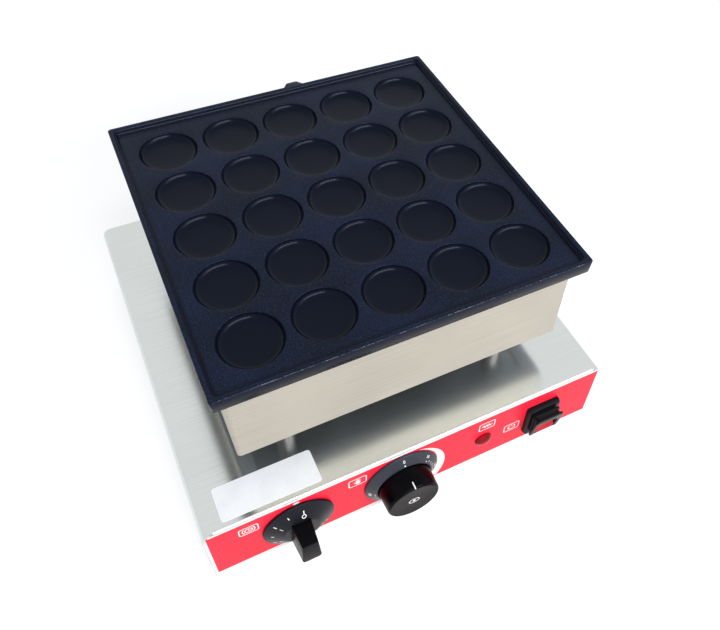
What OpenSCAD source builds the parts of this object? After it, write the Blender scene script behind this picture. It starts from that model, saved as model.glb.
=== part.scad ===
// Countertop grill for mini pancakes: a cast plate with round recesses on a heater box over a control base.
// The origin is the middle of the footprint on the table. +Z is up and the controls face -Y. Millimetres.

/* [Base cover] */
// Width of the base from side to side
base_w = 302; // [284:1:340]
// Depth of the base from front wall to back wall
base_d = 288; // [272:1:330]
// Height of the base cover
cover_h = 62.5; // [60:0.5:80]
// Outer radius of the bends along the left and right top edges
bend_r = 7; // [4:0.5:10]
// Outer radius of the bend along the front top edge
front_bend_r = 1.8; // [1.6:0.1:3]
// Thickness of the stainless sheet
sheet_t = 1.2; // [1:0.1:1.5]
// Width of the inward flanges that carry the bottom plate
flange_w = 14; // [12:1:20]
// Diameter of the relief notch at each front corner
notch_d = 2.4; // [1.6:0.2:4]
// Clearance round a sheet that lies inside another
sheet_fit = 0.3; // [0.2:0.1:0.6]

/* [Feet] */
// Height of the rubber feet
foot_h = 10; // [8:0.5:16]
// Diameter of a foot where it meets the bottom plate
foot_d = 24; // [20:1:30]
// Diameter of a foot at the table
foot_tip_d = 20; // [16:1:20]
// Distance of a foot's axis from the walls
foot_inset = 34; // [30:1:46]

/* [Heater box] */
// Width of the heater box
box_w = 235; // [229:1:241]
// Depth of the heater box
box_d = 236; // [229:1:242]
// Height of the heater box walls
box_h = 68.3; // [64:0.1:80]
// Open height between base and heater box
gap_h = 28; // [20:1:40]
// How far the heater box stands to the right of the base's middle
head_shift_x = 3.5; // [-4:0.5:6]
// How far the heater box stands behind the base's middle
head_shift_y = 2; // [-4:0.5:6]
// Width of the inward lip at the foot of the heater box walls
box_lip = 10; // [7:0.5:11]
// Diameter of the support posts
post_d = 14; // [12:1:16]
// Distance of a post's axis from the side walls of the heater box
post_inset_x = 35.5; // [22:0.5:48]
// Distance of a post's axis from the front and back walls of the heater box
post_inset_y = 22; // [21:0.5:34]
// Diameter of the post bolts
post_bolt_d = 6; // [5:0.5:8]
// Outer diameter of the wire conduit
conduit_d = 22; // [20:1:26]
// Thickness of the insulation mat
mat_h = 22; // [16:1:22]

/* [Baking plate] */
// Width of the plate over its rim
plate_w = 251; // [245:1:260]
// Depth of the plate over its rim
plate_d = 252; // [246:1:260]
// Height of the plate's edge from its seat to the rim
edge_h = 10.9; // [10.4:0.1:14]
// Height of the rim above the plate's floor
rim_h = 4.1; // [3:0.1:4.5]
// Width of the rim's top
rim_w = 3.5; // [3:0.1:5]
// Width of the step inside the rim
step_w = 1.5; // [1:0.1:2]
// Height of the step above the floor
step_h = 2.2; // [0.8:0.1:2.5]
// Radius of the plate's outer corners
plate_corner_r = 2; // [1:0.5:4]
// Radius of the corners inside the rim
tray_corner_r = 3.5; // [3:0.5:9]
// Diameter of a recess
recess_d = 40.2; // [36:0.2:42]
// Distance between neighbouring recesses
recess_pitch = 45.6; // [44.4:0.2:46.6]
// Depth of a recess at its wall
recess_wall = 3.2; // [2.6:0.1:3.4]
// Further depth of the dished bottom
recess_dip = 2.3; // [1.6:0.1:2.4]
// Bevel between wall and bottom of a recess
recess_bevel = 0.9; // [0.5:0.1:1.5]
// Height of the thicker pad under the plate
pad_h = 5; // [4:0.5:6]
// Distance of that pad from the outside of the heater box
pad_inset = 15.5; // [15:0.5:18]
// Position of the lug on the back edge, to the right of the plate's middle
lug_x = 16; // [-60:1:60]
// Width of the lug
lug_w = 18; // [10:1:24]
// How far the lug stands out
lug_out = 5; // [3:0.2:8]

/* [Heater] */
// Diameter of the heating tube
element_d = 8; // [7:0.5:9]
// Thickness of the clamp plate
clamp_t = 2; // [1.5:0.1:3]
// Diameter of the clamp bolts
clamp_bolt_d = 5; // [4:0.5:5]
// Diameter of the thermostat's sensing bulb
bulb_d = 6; // [5:0.5:6.5]
// Length of the sensing bulb
bulb_len = 76; // [60:1:80]
// Diameter of the screws that hold the plate
plate_screw_d = 4; // [3:0.5:4]
// Length of a plate bracket
bracket_len = 20; // [14:1:24]
// Thickness of a plate bracket
bracket_t = 2; // [1.5:0.1:2.5]
// Diameter of the heater leads
lead_d = 3; // [2.5:0.1:3.5]

/* [Front panel] */
// Thickness of the printed film
film_t = 0.4; // [0.3:0.1:0.6]
// Margin of the film from the edges of the front
film_margin = 1; // [0.6:0.2:2]
// Distance of the timer's axis from the left side of the base
timer_inset = 61; // [56:1:66]
// Position of the thermostat from the middle of the base
thermostat_x = -14; // [-18:1:-4]
// Distance of the pilot lamp from the right side of the base
lamp_inset = 98.5; // [94:0.5:104]
// Distance of the switch from the right side of the base
switch_inset = 49.5; // [44:0.5:56]
// Distance of the label from the left side of the base
label_side = 15; // [12:1:30]
// Distance of the label from the front edge
label_inset = 4.5; // [3:0.5:10]
// Width of the label
label_w = 67; // [50:1:80]
// Depth of the label
label_d = 24.5; // [16:0.5:26]
// Thickness of the label
label_t = 0.2; // [0.2:0.05:0.5]

/* [Knobs] */
// Diameter of the timer knob's skirt
timer_skirt_d = 49.8; // [46:0.2:54]
// Height of the skirt's edge in front of the film
timer_edge_h = 2; // [1.6:0.1:3]
// Height of the skirt's top, where the grip begins
timer_cone_h = 8; // [7:0.1:10]
// Radius of the skirt's flat top
timer_hub_r = 12.6; // [12:0.1:14]
// How far the timer knob stands out of the front
timer_out = 24.6; // [22:0.2:30]
// Width of the grip at the skirt
grip_root_w = 15; // [12:0.5:16]
// Width of the grip at its front
grip_tip_w = 11; // [8:0.5:12]
// Height of the grip at the skirt
grip_root_h = 25.4; // [22:0.2:27]
// Height of the grip at its front
grip_tip_h = 24.4; // [20:0.2:26]
// Bevel round the front of the grip
grip_bevel = 1.4; // [0.8:0.1:2]
// Diameter of the thermostat's scale ring
ring_d = 56; // [52:0.2:60]
// Height of the scale ring's outer edge
ring_edge_h = 1.6; // [1.4:0.1:2.4]
// Height of the scale ring's inner edge
ring_h = 6.2; // [5:0.1:7]
// Diameter of the thermostat grip where it enters the ring
grip_d = 40; // [36:0.2:42]
// Diameter of the thermostat grip at its front
grip_front_d = 38.8; // [34:0.2:40]
// How far the thermostat grip stands out of the front
thermostat_out = 22.1; // [20:0.1:26]
// Bevel round the front of the thermostat grip
grip_edge = 1.2; // [0.6:0.1:2]
// Gap between scale ring and grip
ring_gap = 0.6; // [0.4:0.1:1]
// Diameter of the control shafts
shaft_d = 6; // [5:0.5:6]
// Diameter of the threaded bushings
bushing_d = 10; // [9:0.5:12]
// Radial play of the shafts in their bushings
shaft_play = 0.06; // [0.03:0.01:0.09]
// Diameter of the timer's case
timer_case_d = 46; // [40:1:50]
// Depth of the timer's case
timer_case_l = 30; // [24:1:36]
// Diameter of the thermostat's case
thermostat_case_d = 44; // [40:1:50]
// Depth of the thermostat's case
thermostat_case_l = 26; // [20:1:32]

/* [Lamp and switch] */
// Diameter of the lamp lens
lamp_d = 13.4; // [12:0.2:16]
// How far the lens stands out
lamp_out = 4.4; // [3:0.2:6]
// Diameter of the lamp's stem
lamp_stem_d = 9.6; // [8:0.2:10]
// Width of the switch bezel
bezel_w = 26.8; // [26:0.2:30]
// Height of the switch bezel
bezel_h = 32; // [31:0.2:36]
// Thickness of the bezel in front of the film
bezel_t = 4.6; // [3.6:0.1:5]
// How far the hood over the rocker stands out of the front
hood_out = 13; // [12.8:0.1:15]
// Width of the rocker
rocker_w = 16.4; // [14:0.1:17]
// Height of the rocker
rocker_h = 18.6; // [16:0.2:19]
// Play round the rocker
rocker_play = 0.4; // [0.3:0.05:0.5]
// Tilt of the rocker to each side of its middle
rocker_tilt = 10; // [6:1:11]
// Diameter of the rocker's pivot pins
pivot_d = 3; // [2:0.2:3.4]
// Depth of the switch body behind the front wall
switch_l = 22; // [20:1:30]

/* [Cable gland] */
// Distance of the gland from the right side of the base
gland_inset = 61; // [52:1:80]
// Diameter of the cable's bore
cable_bore_d = 10; // [8:0.5:11]
// Diameter of the gland's thread
gland_thread_d = 18; // [17:0.5:20]
// Width across the flats of the gland
gland_af = 24; // [23:0.5:27]
// How far the gland stands out of the back
gland_out = 17; // [15:0.5:22]

/* [Hidden] */
$fn = 64;

steel = "#c9cccb";
dark_steel = "#8d9092";
black = "#17181d";
rubber = "#222222";

// Levels, from the table upwards
base_z = foot_h;
inner_floor_z = base_z + sheet_t;
top_z = base_z + cover_h;
panel_z = base_z + cover_h / 2;
box_z = top_z + gap_h;
box_floor_z = box_z + sheet_t;
mat_z = box_floor_z + sheet_t;
seat_z = box_z + box_h;
rim_z = seat_z + edge_h;
plate_floor_z = rim_z - rim_h;
pad_z = seat_z - pad_h;

// Places from front to back: the front knob and the gland set the ends of the footprint
front_reach = max(timer_out, thermostat_out);
depth_all = front_reach + base_d + gland_out;
front_y = front_reach - depth_all / 2;
back_y = front_y + base_d;
head_y = (front_y + back_y) / 2 + head_shift_y;
head_x = head_shift_x;
post_x = box_w / 2 - post_inset_x;
post_y = box_d / 2 - post_inset_y;
pad_w = box_w - 2 * pad_inset;
pad_d = box_d - 2 * pad_inset;

// Places along the front and the back
timer_x = timer_inset - base_w / 2;
lamp_x = base_w / 2 - lamp_inset;
switch_x = base_w / 2 - switch_inset;
label_x = label_side - base_w / 2;
label_corner_r = 2;
gland_x = base_w / 2 - gland_inset;

// Small fits and fasteners
touch = 0.1;
hole_fit = 0.3;
nut_h = 2.5;
foot_screw_d = 5;
foot_web = 4;
foot_nut_h = 4;
case_screw_d = 4;
screw_end = 20;
stud_d = 5;
earth_side = 14;
earth_back = 70;
thread_fit = 0.15;
over = 1;
recess_count = 5;
dish_flat = 0.02;
recess_span = (recess_count - 1) / 2;

// Heating tube: two runs on each side of the middle, between the columns of recesses
tube_z = pad_z - touch - element_d / 2;
clamp_z = tube_z - element_d / 2 - touch - clamp_t;
run_x = [0.5 * recess_pitch, 1.5 * recess_pitch];
turn_r = recess_pitch / 2;
turn_inset = 20;
tail_inset = 26;
run_y = box_d / 2 - turn_inset - turn_r;
tail_y = box_d / 2 - tail_inset;
pin_drop = 20;
bolt_x = recess_pitch;
bolt_y = 1.5 * recess_pitch;
clamp_bolt_depth = 6;
bush_d = 13;
bush_h = 9;
bush_floor = 3;
clamp_side = 22.5;
clamp_end = 5;
clamp_corner_r = 6;
tail_hole_d = 2.4 * element_d;
clamp_w = box_w - 2 * clamp_side;
clamp_d = box_d - 2 * clamp_end;
bulb_room = 8;
bulb_y = box_d / 2 - turn_inset - element_d / 2 - bulb_room - bulb_len;
bulb_z = pad_z - touch - bulb_d / 2;
capillary_d = 2;
lead_gap = 5;
lead_level = mat_z + mat_h + lead_d;
bracket_w = 12;
bracket_h = 14;
bracket_x = box_w / 2 - sheet_t;
bracket_hole = 7;
plate_screw_x = bracket_x - bracket_hole;
plate_screw_in = 4.5;
plate_screw_head = 2.4;

// Controls behind and before the front wall
shaft_in = 12;
thread_end = 0.6;
timer_bushing = film_t + nut_h + thread_end;
timer_bore_end = timer_out - 6;
ring_web = 1.2;
ring_back = film_t;
thermostat_bushing = ring_back + ring_web + nut_h + thread_end;
thermostat_bore_end = thermostat_out - 5;
bore_play = 0.05;
knob_gap = 0.5;
switch_body_w = bezel_w - 4;
switch_body_h = bezel_h - 3.5;

// Inside the base
conduit_wall = 2;
collar_w = 3;
collar_h = 2;
flange_x = base_w / 2 - sheet_t - flange_w / 2;
block_x = 55;
block_y = back_y - 52;
block_w = 40;
block_d = 20;
block_h = 18;
block_pitch = 12;
block_bore_z = inner_floor_z + 8;
wire_d = 2.6;
wire_rise = 17;
wire_drop = 14;
wire_room = 15;
wire_step = 12;
wire_bend = 5;
tab_x = 6;
lamp_stem_l = 14;
tab_z = 8;
tab_l = 7;
tab_w = 4.8;
tab_t = 0.8;
switch_back = sheet_t + switch_l;
rocker_axis = 4;
pivot_l = 0.9;
pivot_hole = 1.2;
rocker_room = 1.3;
hood_lean = 9;
hood_t = 1.8;
hood_h = 24.7;
hood_foot = -11;
film_fit = 0.2;

// Outline with round corners
module rounded_rect(w, d, r) {
    square([w - 2 * r, d], center = true);
    square([w, d - 2 * r], center = true);
    for (x = [-1, 1], y = [-1, 1])
        translate([x * (w / 2 - r), y * (d / 2 - r)]) circle(r);
}

// Cross-section of the bent cover: square below, round at its two top corners
module bent_outline(w, h, r) {
    translate([-w / 2, 0]) square([w, h - r]);
    translate([-w / 2 + r, 0]) square([w - 2 * r, h]);
    for (x = [-1, 1])
        translate([x * (w / 2 - r), h - r]) circle(r);
}

// Front frame: X to the right, Y up, Z out of the front face
module on_front(x) {
    translate([x, front_y, panel_z]) rotate([90, 0, 0]) children();
}

// Back frame: Z out of the back face
module on_back(x) {
    translate([x, back_y, panel_z]) rotate([-90, 0, 0]) children();
}

module on_head() {
    translate([head_x, head_y, 0]) children();
}

module at_posts() {
    for (x = [-1, 1], y = [-1, 1])
        on_head() translate([x * post_x, y * post_y, 0]) children();
}

module at_feet() {
    for (x = [-1, 1], y = [front_y + foot_inset, back_y - foot_inset])
        translate([x * (base_w / 2 - foot_inset), y, 0]) children();
}

module at_bottom_screws() {
    for (x = [-1, 1], y = [front_y + screw_end, (front_y + back_y) / 2, back_y - screw_end])
        translate([x * flange_x, y, 0]) children();
}

module at_plate_screws() {
    for (x = [-1, 1], y = [-1, 1])
        on_head() translate([x * plate_screw_x, y * bolt_y, 0]) children();
}

module at_clamp_bolts() {
    for (x = [-1, 1], y = [-1, 1])
        on_head() translate([x * bolt_x, y * bolt_y, 0]) children();
}

module at_element_pins() {
    for (x = [-1, 1])
        on_head() translate([x * run_x[1], tail_y + pin_drop / 2, 0]) children();
}

// Hexagonal nut standing on z = 0
module hex_nut(af, h, bore) {
    difference() {
        cylinder(h = h, d = af / cos(30), $fn = 6);
        translate([0, 0, -over]) cylinder(h = h + 2 * over, d = bore);
    }
}

// Screw whose round head hangs below z = 0 and whose shank stands above it
module pan_screw(head_d, head_h, shank_d, shank_l) {
    translate([0, 0, -head_h]) cylinder(h = head_h, d1 = head_d * 0.8, d2 = head_d);
    cylinder(h = shank_l, d = shank_d);
}

// Straight rod between two points
module rod(a, b, d) {
    v = b - a;
    translate(a) rotate([0, acos(v[2] / norm(v)), atan2(v[1], v[0])]) cylinder(h = norm(v), d = d);
}

// Quarter bend at corner p, from direction u to direction v
module elbow(p, u, v, r, d) {
    c = p - r * u + r * v;
    w = cross(-v, u);
    multmatrix([
        [-v[0], u[0], w[0], c[0]],
        [-v[1], u[1], w[1], c[1]],
        [-v[2], u[2], w[2], c[2]],
        [0, 0, 0, 1]
    ]) rotate_extrude(angle = 90) translate([r, 0]) circle(d = d);
}

function unit(v) = v / norm(v);
function half_of(p, i) = norm(p[i + 1] - p[i]) / 2;
function turn_at(p, i, r) = (i == 0 || i == len(p) - 1) ? 0 : min(r, half_of(p, i - 1), half_of(p, i));

// Tube along square corners, each rounded to radius r where the runs leave room
module route(p, d, r) {
    for (i = [0 : len(p) - 2]) {
        u = unit(p[i + 1] - p[i]);
        a = p[i] + turn_at(p, i, r) * u;
        b = p[i + 1] - turn_at(p, i + 1, r) * u;
        if (norm(b - a) > 0.01) rod(a, b, d);
        if (i > 0) elbow(p[i], unit(p[i] - p[i - 1]), u, turn_at(p, i, r), d);
    }
}

// Round shaft with a flat on its upper side
module d_section(d, play = 0) {
    intersection() {
        circle(d = d + 2 * play);
        translate([-d, -d]) square([2 * d, d + d * 0.3 + play]);
    }
}

// Space of one recess, with its top on z = 0
module recess() {
    r = recess_d / 2;
    bottom_r = r - recess_bevel;
    dish_r = (bottom_r * bottom_r + recess_dip * recess_dip) / (2 * recess_dip);
    rotate_extrude() {
        polygon([
            [0, over], [r, over], [r, recess_bevel - recess_wall],
            [bottom_r, -recess_wall], [0, -recess_wall]
        ]);
        intersection() {
            translate([0, dish_r - recess_wall - recess_dip]) circle(dish_r, $fn = 360);
            translate([0, -recess_wall - recess_dip + dish_flat]) square([bottom_r, recess_dip]);
        }
    }
}

// Black cast plate: tray with a stepped rim, 25 recesses, a pad below for the heating tube, a lug behind
module baking_plate() {
    inner_w = plate_w - 2 * rim_w;
    inner_d = plate_d - 2 * rim_w;
    color(black) on_head() difference() {
        union() {
            translate([0, 0, seat_z]) linear_extrude(edge_h) rounded_rect(plate_w, plate_d, plate_corner_r);
            translate([0, 0, pad_z]) linear_extrude(pad_h + over) rounded_rect(pad_w, pad_d, tray_corner_r);
            translate([lug_x, plate_d / 2, seat_z + edge_h / 3]) linear_extrude(edge_h * 2 / 3)
                polygon([
                    [-lug_w / 2, -over], [lug_w / 2, -over],
                    [lug_w / 3, lug_out], [-lug_w / 3, lug_out]
                ]);
        }
        translate([0, 0, plate_floor_z + step_h]) linear_extrude(rim_h)
            rounded_rect(inner_w, inner_d, tray_corner_r);
        translate([0, 0, plate_floor_z]) linear_extrude(rim_h)
            rounded_rect(inner_w - 2 * step_w, inner_d - 2 * step_w, tray_corner_r - step_w);
        for (i = [-recess_span : recess_span], j = [-recess_span : recess_span])
            translate([i * recess_pitch, j * recess_pitch, plate_floor_z]) recess();
        for (x = [-1, 1], y = [-1, 1]) {
            translate([x * bolt_x, y * bolt_y, pad_z - over])
                cylinder(h = clamp_bolt_depth + over, d = clamp_bolt_d + 2 * thread_fit);
            translate([x * plate_screw_x, y * bolt_y, seat_z - over])
                cylinder(h = plate_screw_in + over + hole_fit, d = plate_screw_d + 2 * thread_fit);
        }
    }
}

// Folded walls with an inward lip at their foot
module heater_box() {
    inner_w = box_w - 2 * sheet_t;
    inner_d = box_d - 2 * sheet_t;
    color(steel) on_head() translate([0, 0, box_z]) linear_extrude(box_h) difference() {
        rounded_rect(box_w, box_d, 2 * sheet_t);
        rounded_rect(inner_w, inner_d, sheet_t);
    }
    color(steel) on_head() translate([0, 0, box_z]) linear_extrude(sheet_t) difference() {
        rounded_rect(inner_w + sheet_t, inner_d + sheet_t, sheet_t);
        rounded_rect(inner_w - 2 * box_lip, inner_d - 2 * box_lip, sheet_t);
    }
}

module heater_box_floor() {
    w = box_w - 2 * sheet_t - 2 * sheet_fit;
    d = box_d - 2 * sheet_t - 2 * sheet_fit;
    color(dark_steel) difference() {
        on_head() translate([0, 0, box_floor_z]) linear_extrude(sheet_t) rounded_rect(w, d, sheet_t);
        at_posts() translate([0, 0, box_floor_z - over])
            cylinder(h = sheet_t + 2 * over, d = post_bolt_d + 2 * hole_fit);
        on_head() translate([0, 0, box_floor_z - over])
            cylinder(h = sheet_t + 2 * over, d = conduit_d + 2 * hole_fit);
    }
}

module insulation_mat() {
    w = box_w - 2 * sheet_t - 2 * sheet_fit;
    d = box_d - 2 * sheet_t - 2 * sheet_fit;
    color("#e9e4d6") difference() {
        on_head() translate([0, 0, mat_z]) linear_extrude(mat_h) rounded_rect(w, d, sheet_t);
        at_posts() translate([0, 0, mat_z - over]) cylinder(h = mat_h + 2 * over, d = 3 * post_bolt_d);
        on_head() translate([0, 0, mat_z - over])
            cylinder(h = mat_h + 2 * over, d = conduit_d + 4 * hole_fit);
    }
}

// One tube: down-turned tail, run, turn, run, turn and back again
module heating_element() {
    front_turn = -run_y - turn_r;
    back_turn = run_y + turn_r;
    tail = tail_y + pin_drop / 2;
    color("#5c5a57") on_head() translate([0, 0, tube_z]) route([
        [-run_x[1], tail, -pin_drop], [-run_x[1], tail, 0],
        [-run_x[1], front_turn, 0], [-run_x[0], front_turn, 0],
        [-run_x[0], back_turn, 0], [run_x[0], back_turn, 0],
        [run_x[0], front_turn, 0], [run_x[1], front_turn, 0],
        [run_x[1], tail, 0], [run_x[1], tail, -pin_drop]
    ], element_d, turn_r);
}

// Ceramic bushes on the ends of the element's tails, with a hole below for the lead
module element_bushes() {
    color("#efe8da") at_element_pins() translate([0, 0, tube_z - pin_drop]) difference() {
        translate([0, 0, -bush_floor]) cylinder(h = bush_h, d = bush_d);
        cylinder(h = bush_h, d = element_d + 2 * touch);
        translate([0, 0, -bush_floor - over]) cylinder(h = bush_h, d = lead_d + 2 * touch);
    }
}

module clamp_plate() {
    color(dark_steel) difference() {
        on_head() translate([0, 0, clamp_z]) linear_extrude(clamp_t)
            rounded_rect(clamp_w, clamp_d, clamp_corner_r);
        at_clamp_bolts() translate([0, 0, clamp_z - over])
            cylinder(h = clamp_t + 2 * over, d = clamp_bolt_d + 2 * thread_fit);
        at_element_pins() translate([0, 0, clamp_z - over])
            cylinder(h = clamp_t + 2 * over, d = tail_hole_d);
        on_head() translate([0, 0, clamp_z - over]) cylinder(h = clamp_t + 2 * over, d = 4 * capillary_d);
    }
}

module clamp_bolts() {
    head_h = 3.5;
    color(dark_steel) at_clamp_bolts() {
        translate([0, 0, clamp_z - head_h]) cylinder(h = head_h, d = 1.8 * clamp_bolt_d, $fn = 6);
        translate([0, 0, clamp_z])
            cylinder(h = pad_z - clamp_z + clamp_bolt_depth - over, d = clamp_bolt_d);
    }
}

// Angle brackets on the side walls, under the plate's border
module plate_brackets() {
    color(dark_steel) for (x = [-1, 1], y = [-1, 1])
        on_head() translate([0, y * bolt_y, seat_z]) difference() {
            mirror([x < 0 ? 1 : 0, 0, 0]) union() {
                translate([bracket_x - bracket_w, -bracket_len / 2, -bracket_t])
                    cube([bracket_w, bracket_len, bracket_t]);
                translate([bracket_x - bracket_t, -bracket_len / 2, -bracket_h])
                    cube([bracket_t, bracket_len, bracket_h]);
            }
            translate([x * plate_screw_x, 0, -bracket_t - over])
                cylinder(h = bracket_t + 2 * over, d = plate_screw_d + 2 * thread_fit);
        }
}

module plate_screws() {
    color(dark_steel) at_plate_screws() translate([0, 0, seat_z - bracket_t])
        pan_screw(1.8 * plate_screw_d, plate_screw_head, plate_screw_d, bracket_t + plate_screw_in);
}

// Sensing bulb under the plate, with its thin tube down the conduit to the thermostat
module capillary_bulb() {
    end_y = front_y + sheet_t + thermostat_case_l;
    low_z = panel_z - tab_z;
    tube_x = thermostat_x - tab_x;
    color("#b87f4e") {
        on_head() translate([0, bulb_y, bulb_z]) rotate([-90, 0, 0]) cylinder(h = bulb_len, d = bulb_d);
        route([
            [head_x, head_y + bulb_y + bulb_len / 2, bulb_z], [head_x, head_y, bulb_z],
            [head_x, head_y, low_z],
            [tube_x, head_y, low_z], [tube_x, end_y, low_z]
        ], capillary_d, wire_bend);
    }
}

// Block on the clamp plate that keeps the bulb against the pad
module bulb_saddle() {
    saddle_w = 14;
    saddle_l = 12;
    color(dark_steel) on_head() translate([0, bulb_y + bulb_len / 2, 0]) difference() {
        translate([-saddle_w / 2, -saddle_l / 2, clamp_z + clamp_t])
            cube([saddle_w, saddle_l, bulb_z - clamp_z - clamp_t]);
        translate([0, -saddle_l, bulb_z]) rotate([-90, 0, 0])
            cylinder(h = 2 * saddle_l, d = bulb_d + 2 * touch);
    }
}

// Sleeved leads from the element's tails through the conduit into the base
module heater_leads() {
    pin_z = tube_z - pin_drop;
    tail = head_y + tail_y + pin_drop / 2;
    left_z = panel_z + tab_z;
    case_y = front_y + sheet_t + thermostat_case_l;
    left_x = thermostat_x - 2 * tab_x;
    right_x = block_x - block_pitch;
    color("#d8d2c0") {
        route([
            [head_x - run_x[1], tail, pin_z], [head_x - run_x[1], tail, lead_level],
            [head_x - lead_gap, tail, lead_level], [head_x - lead_gap, head_y, lead_level],
            [head_x - lead_gap, head_y, left_z], [left_x, head_y, left_z], [left_x, case_y, left_z]
        ], lead_d, wire_bend);
        route([
            [head_x + run_x[1], tail, pin_z], [head_x + run_x[1], tail, lead_level],
            [head_x + lead_gap, tail, lead_level], [head_x + lead_gap, head_y, lead_level],
            [head_x + lead_gap, head_y, block_bore_z], [right_x, head_y, block_bore_z],
            [right_x, block_y - block_d / 2, block_bore_z]
        ], lead_d, wire_bend);
    }
}

// Spacer tubes between the base top and the floor of the heater box
module support_posts() {
    color(steel) at_posts() translate([0, 0, top_z]) difference() {
        cylinder(h = gap_h + sheet_t, d = post_d);
        translate([0, 0, -over]) cylinder(h = gap_h + sheet_t + 2 * over, d = post_bolt_d + 2 * hole_fit);
    }
}

module post_bolts() {
    head_h = 4;
    below = 10;
    color(dark_steel) at_posts() {
        translate([0, 0, mat_z]) cylinder(h = head_h, d = 1.8 * post_bolt_d, $fn = 6);
        translate([0, 0, top_z - sheet_t - below])
            cylinder(h = mat_z - top_z + sheet_t + below, d = post_bolt_d);
    }
}

module post_nuts() {
    h = 5;
    color(dark_steel) at_posts() translate([0, 0, top_z - sheet_t - h])
        hex_nut(1.7 * post_bolt_d, h, post_bolt_d + 2 * thread_fit);
}

// Tube for the leads, with a collar on the base and one under the heater box
module wire_conduit() {
    below = 8;
    above = 6;
    low = top_z - sheet_t - below;
    high = mat_z + above;
    collar_d = conduit_d + 2 * collar_w;
    color(dark_steel) on_head() difference() {
        union() {
            translate([0, 0, low]) cylinder(h = high - low, d = conduit_d);
            translate([0, 0, top_z]) cylinder(h = collar_h, d = collar_d);
            translate([0, 0, box_floor_z - collar_h]) cylinder(h = collar_h, d = collar_d);
        }
        translate([0, 0, low - over]) cylinder(h = high - low + 2 * over, d = conduit_d - 2 * conduit_wall);
    }
}

// Folded cover: top and sides bent in one sweep, closed front and back, flanges below
module base_cover() {
    straight = base_w - 2 * bend_r;
    color(steel) difference() {
        union() {
            difference() {
                translate([0, back_y, base_z]) rotate([90, 0, 0]) linear_extrude(base_d)
                    bent_outline(base_w, cover_h, bend_r);
                translate([0, back_y - sheet_t, base_z - over]) rotate([90, 0, 0])
                    linear_extrude(base_d - 2 * sheet_t)
                    bent_outline(base_w - 2 * sheet_t, cover_h - sheet_t + over, bend_r - sheet_t);
            }
            for (x = [-1, 1])
                translate([x * flange_x, (front_y + back_y) / 2, inner_floor_z + sheet_t / 2])
                    cube([flange_w + sheet_t, base_d - sheet_t, sheet_t], center = true);
        }
        translate([-straight / 2, front_y - over, top_z + over]) rotate([0, 90, 0]) linear_extrude(straight)
            difference() {
                square(front_bend_r + over);
                translate([front_bend_r + over, front_bend_r + over]) circle(front_bend_r);
            }
        for (x = [-1, 1])
            translate([x * straight / 2, front_y, top_z - front_bend_r])
                cylinder(h = 2 * front_bend_r, d = notch_d);
        at_posts() translate([0, 0, top_z - sheet_t - over])
            cylinder(h = sheet_t + 2 * over, d = post_bolt_d + 2 * hole_fit);
        on_head() translate([0, 0, top_z - sheet_t - over])
            cylinder(h = sheet_t + 2 * over, d = conduit_d + 2 * hole_fit);
        at_bottom_screws() translate([0, 0, base_z])
            cylinder(h = 3 * sheet_t, d = case_screw_d + 2 * hole_fit);
        front_openings(sheet_t + over, over);
        on_back(gland_x) translate([0, 0, -sheet_t - over])
            cylinder(h = sheet_t + 2 * over, d = gland_thread_d + 2 * hole_fit);
    }
}

// Holes for the controls, from a depth behind the front face to a height before it
module front_openings(behind, before) {
    for (x = [timer_x, thermostat_x])
        on_front(x) translate([0, 0, -behind]) cylinder(h = behind + before, d = bushing_d + 2 * hole_fit);
    on_front(lamp_x) translate([0, 0, -behind])
        cylinder(h = behind + before, d = lamp_stem_d + 2 * hole_fit);
    on_front(switch_x) translate([0, 0, -behind]) linear_extrude(behind + before)
        square([switch_body_w + 2 * hole_fit, switch_body_h + 2 * hole_fit], center = true);
}

// Flat floor of the base with rows of vent slots
module bottom_plate() {
    w = base_w - 2 * sheet_t - 2 * sheet_fit;
    d = base_d - 2 * sheet_t - 2 * sheet_fit;
    slot_w = 5;
    slot_l = 40;
    slot_pitch = 14;
    slot_row = 45;
    color(dark_steel) difference() {
        translate([-w / 2, front_y + sheet_t + sheet_fit, base_z]) cube([w, d, sheet_t]);
        for (i = [-4 : 4], y = [-1, 1])
            translate([i * slot_pitch, head_y + y * slot_row, base_z - over])
                linear_extrude(sheet_t + 2 * over) {
                    square([slot_w, slot_l - slot_w], center = true);
                    for (e = [-1, 1]) translate([0, e * (slot_l - slot_w) / 2]) circle(d = slot_w);
                }
        at_feet() translate([0, 0, base_z - over])
            cylinder(h = sheet_t + 2 * over, d = foot_screw_d + 2 * hole_fit);
        at_bottom_screws() translate([0, 0, base_z - over])
            cylinder(h = sheet_t + 2 * over, d = case_screw_d + 2 * hole_fit);
        at_earth() translate([0, 0, base_z - over])
            cylinder(h = sheet_t + 2 * over, d = stud_d + 2 * hole_fit);
    }
}

module bottom_screws() {
    color(dark_steel) at_bottom_screws() translate([0, 0, base_z])
        pan_screw(1.9 * case_screw_d, 0.6 * case_screw_d, case_screw_d, 6 * sheet_t);
}

module rubber_feet() {
    color(rubber) at_feet() difference() {
        cylinder(h = foot_h, d1 = foot_tip_d, d2 = foot_d);
        translate([0, 0, -over]) cylinder(h = foot_h - foot_web + over, d = 2.2 * foot_screw_d);
        cylinder(h = foot_h + over, d = foot_screw_d + 2 * hole_fit);
    }
}

module foot_screws() {
    color(dark_steel) at_feet() translate([0, 0, foot_h - foot_web])
        pan_screw(1.8 * foot_screw_d, 0.6 * foot_screw_d, foot_screw_d, foot_web + sheet_t + foot_nut_h + 2);
}

module foot_nuts() {
    color(dark_steel) at_feet() translate([0, 0, inner_floor_z])
        hex_nut(1.6 * foot_screw_d, foot_nut_h, foot_screw_d + 2 * thread_fit);
}

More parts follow.
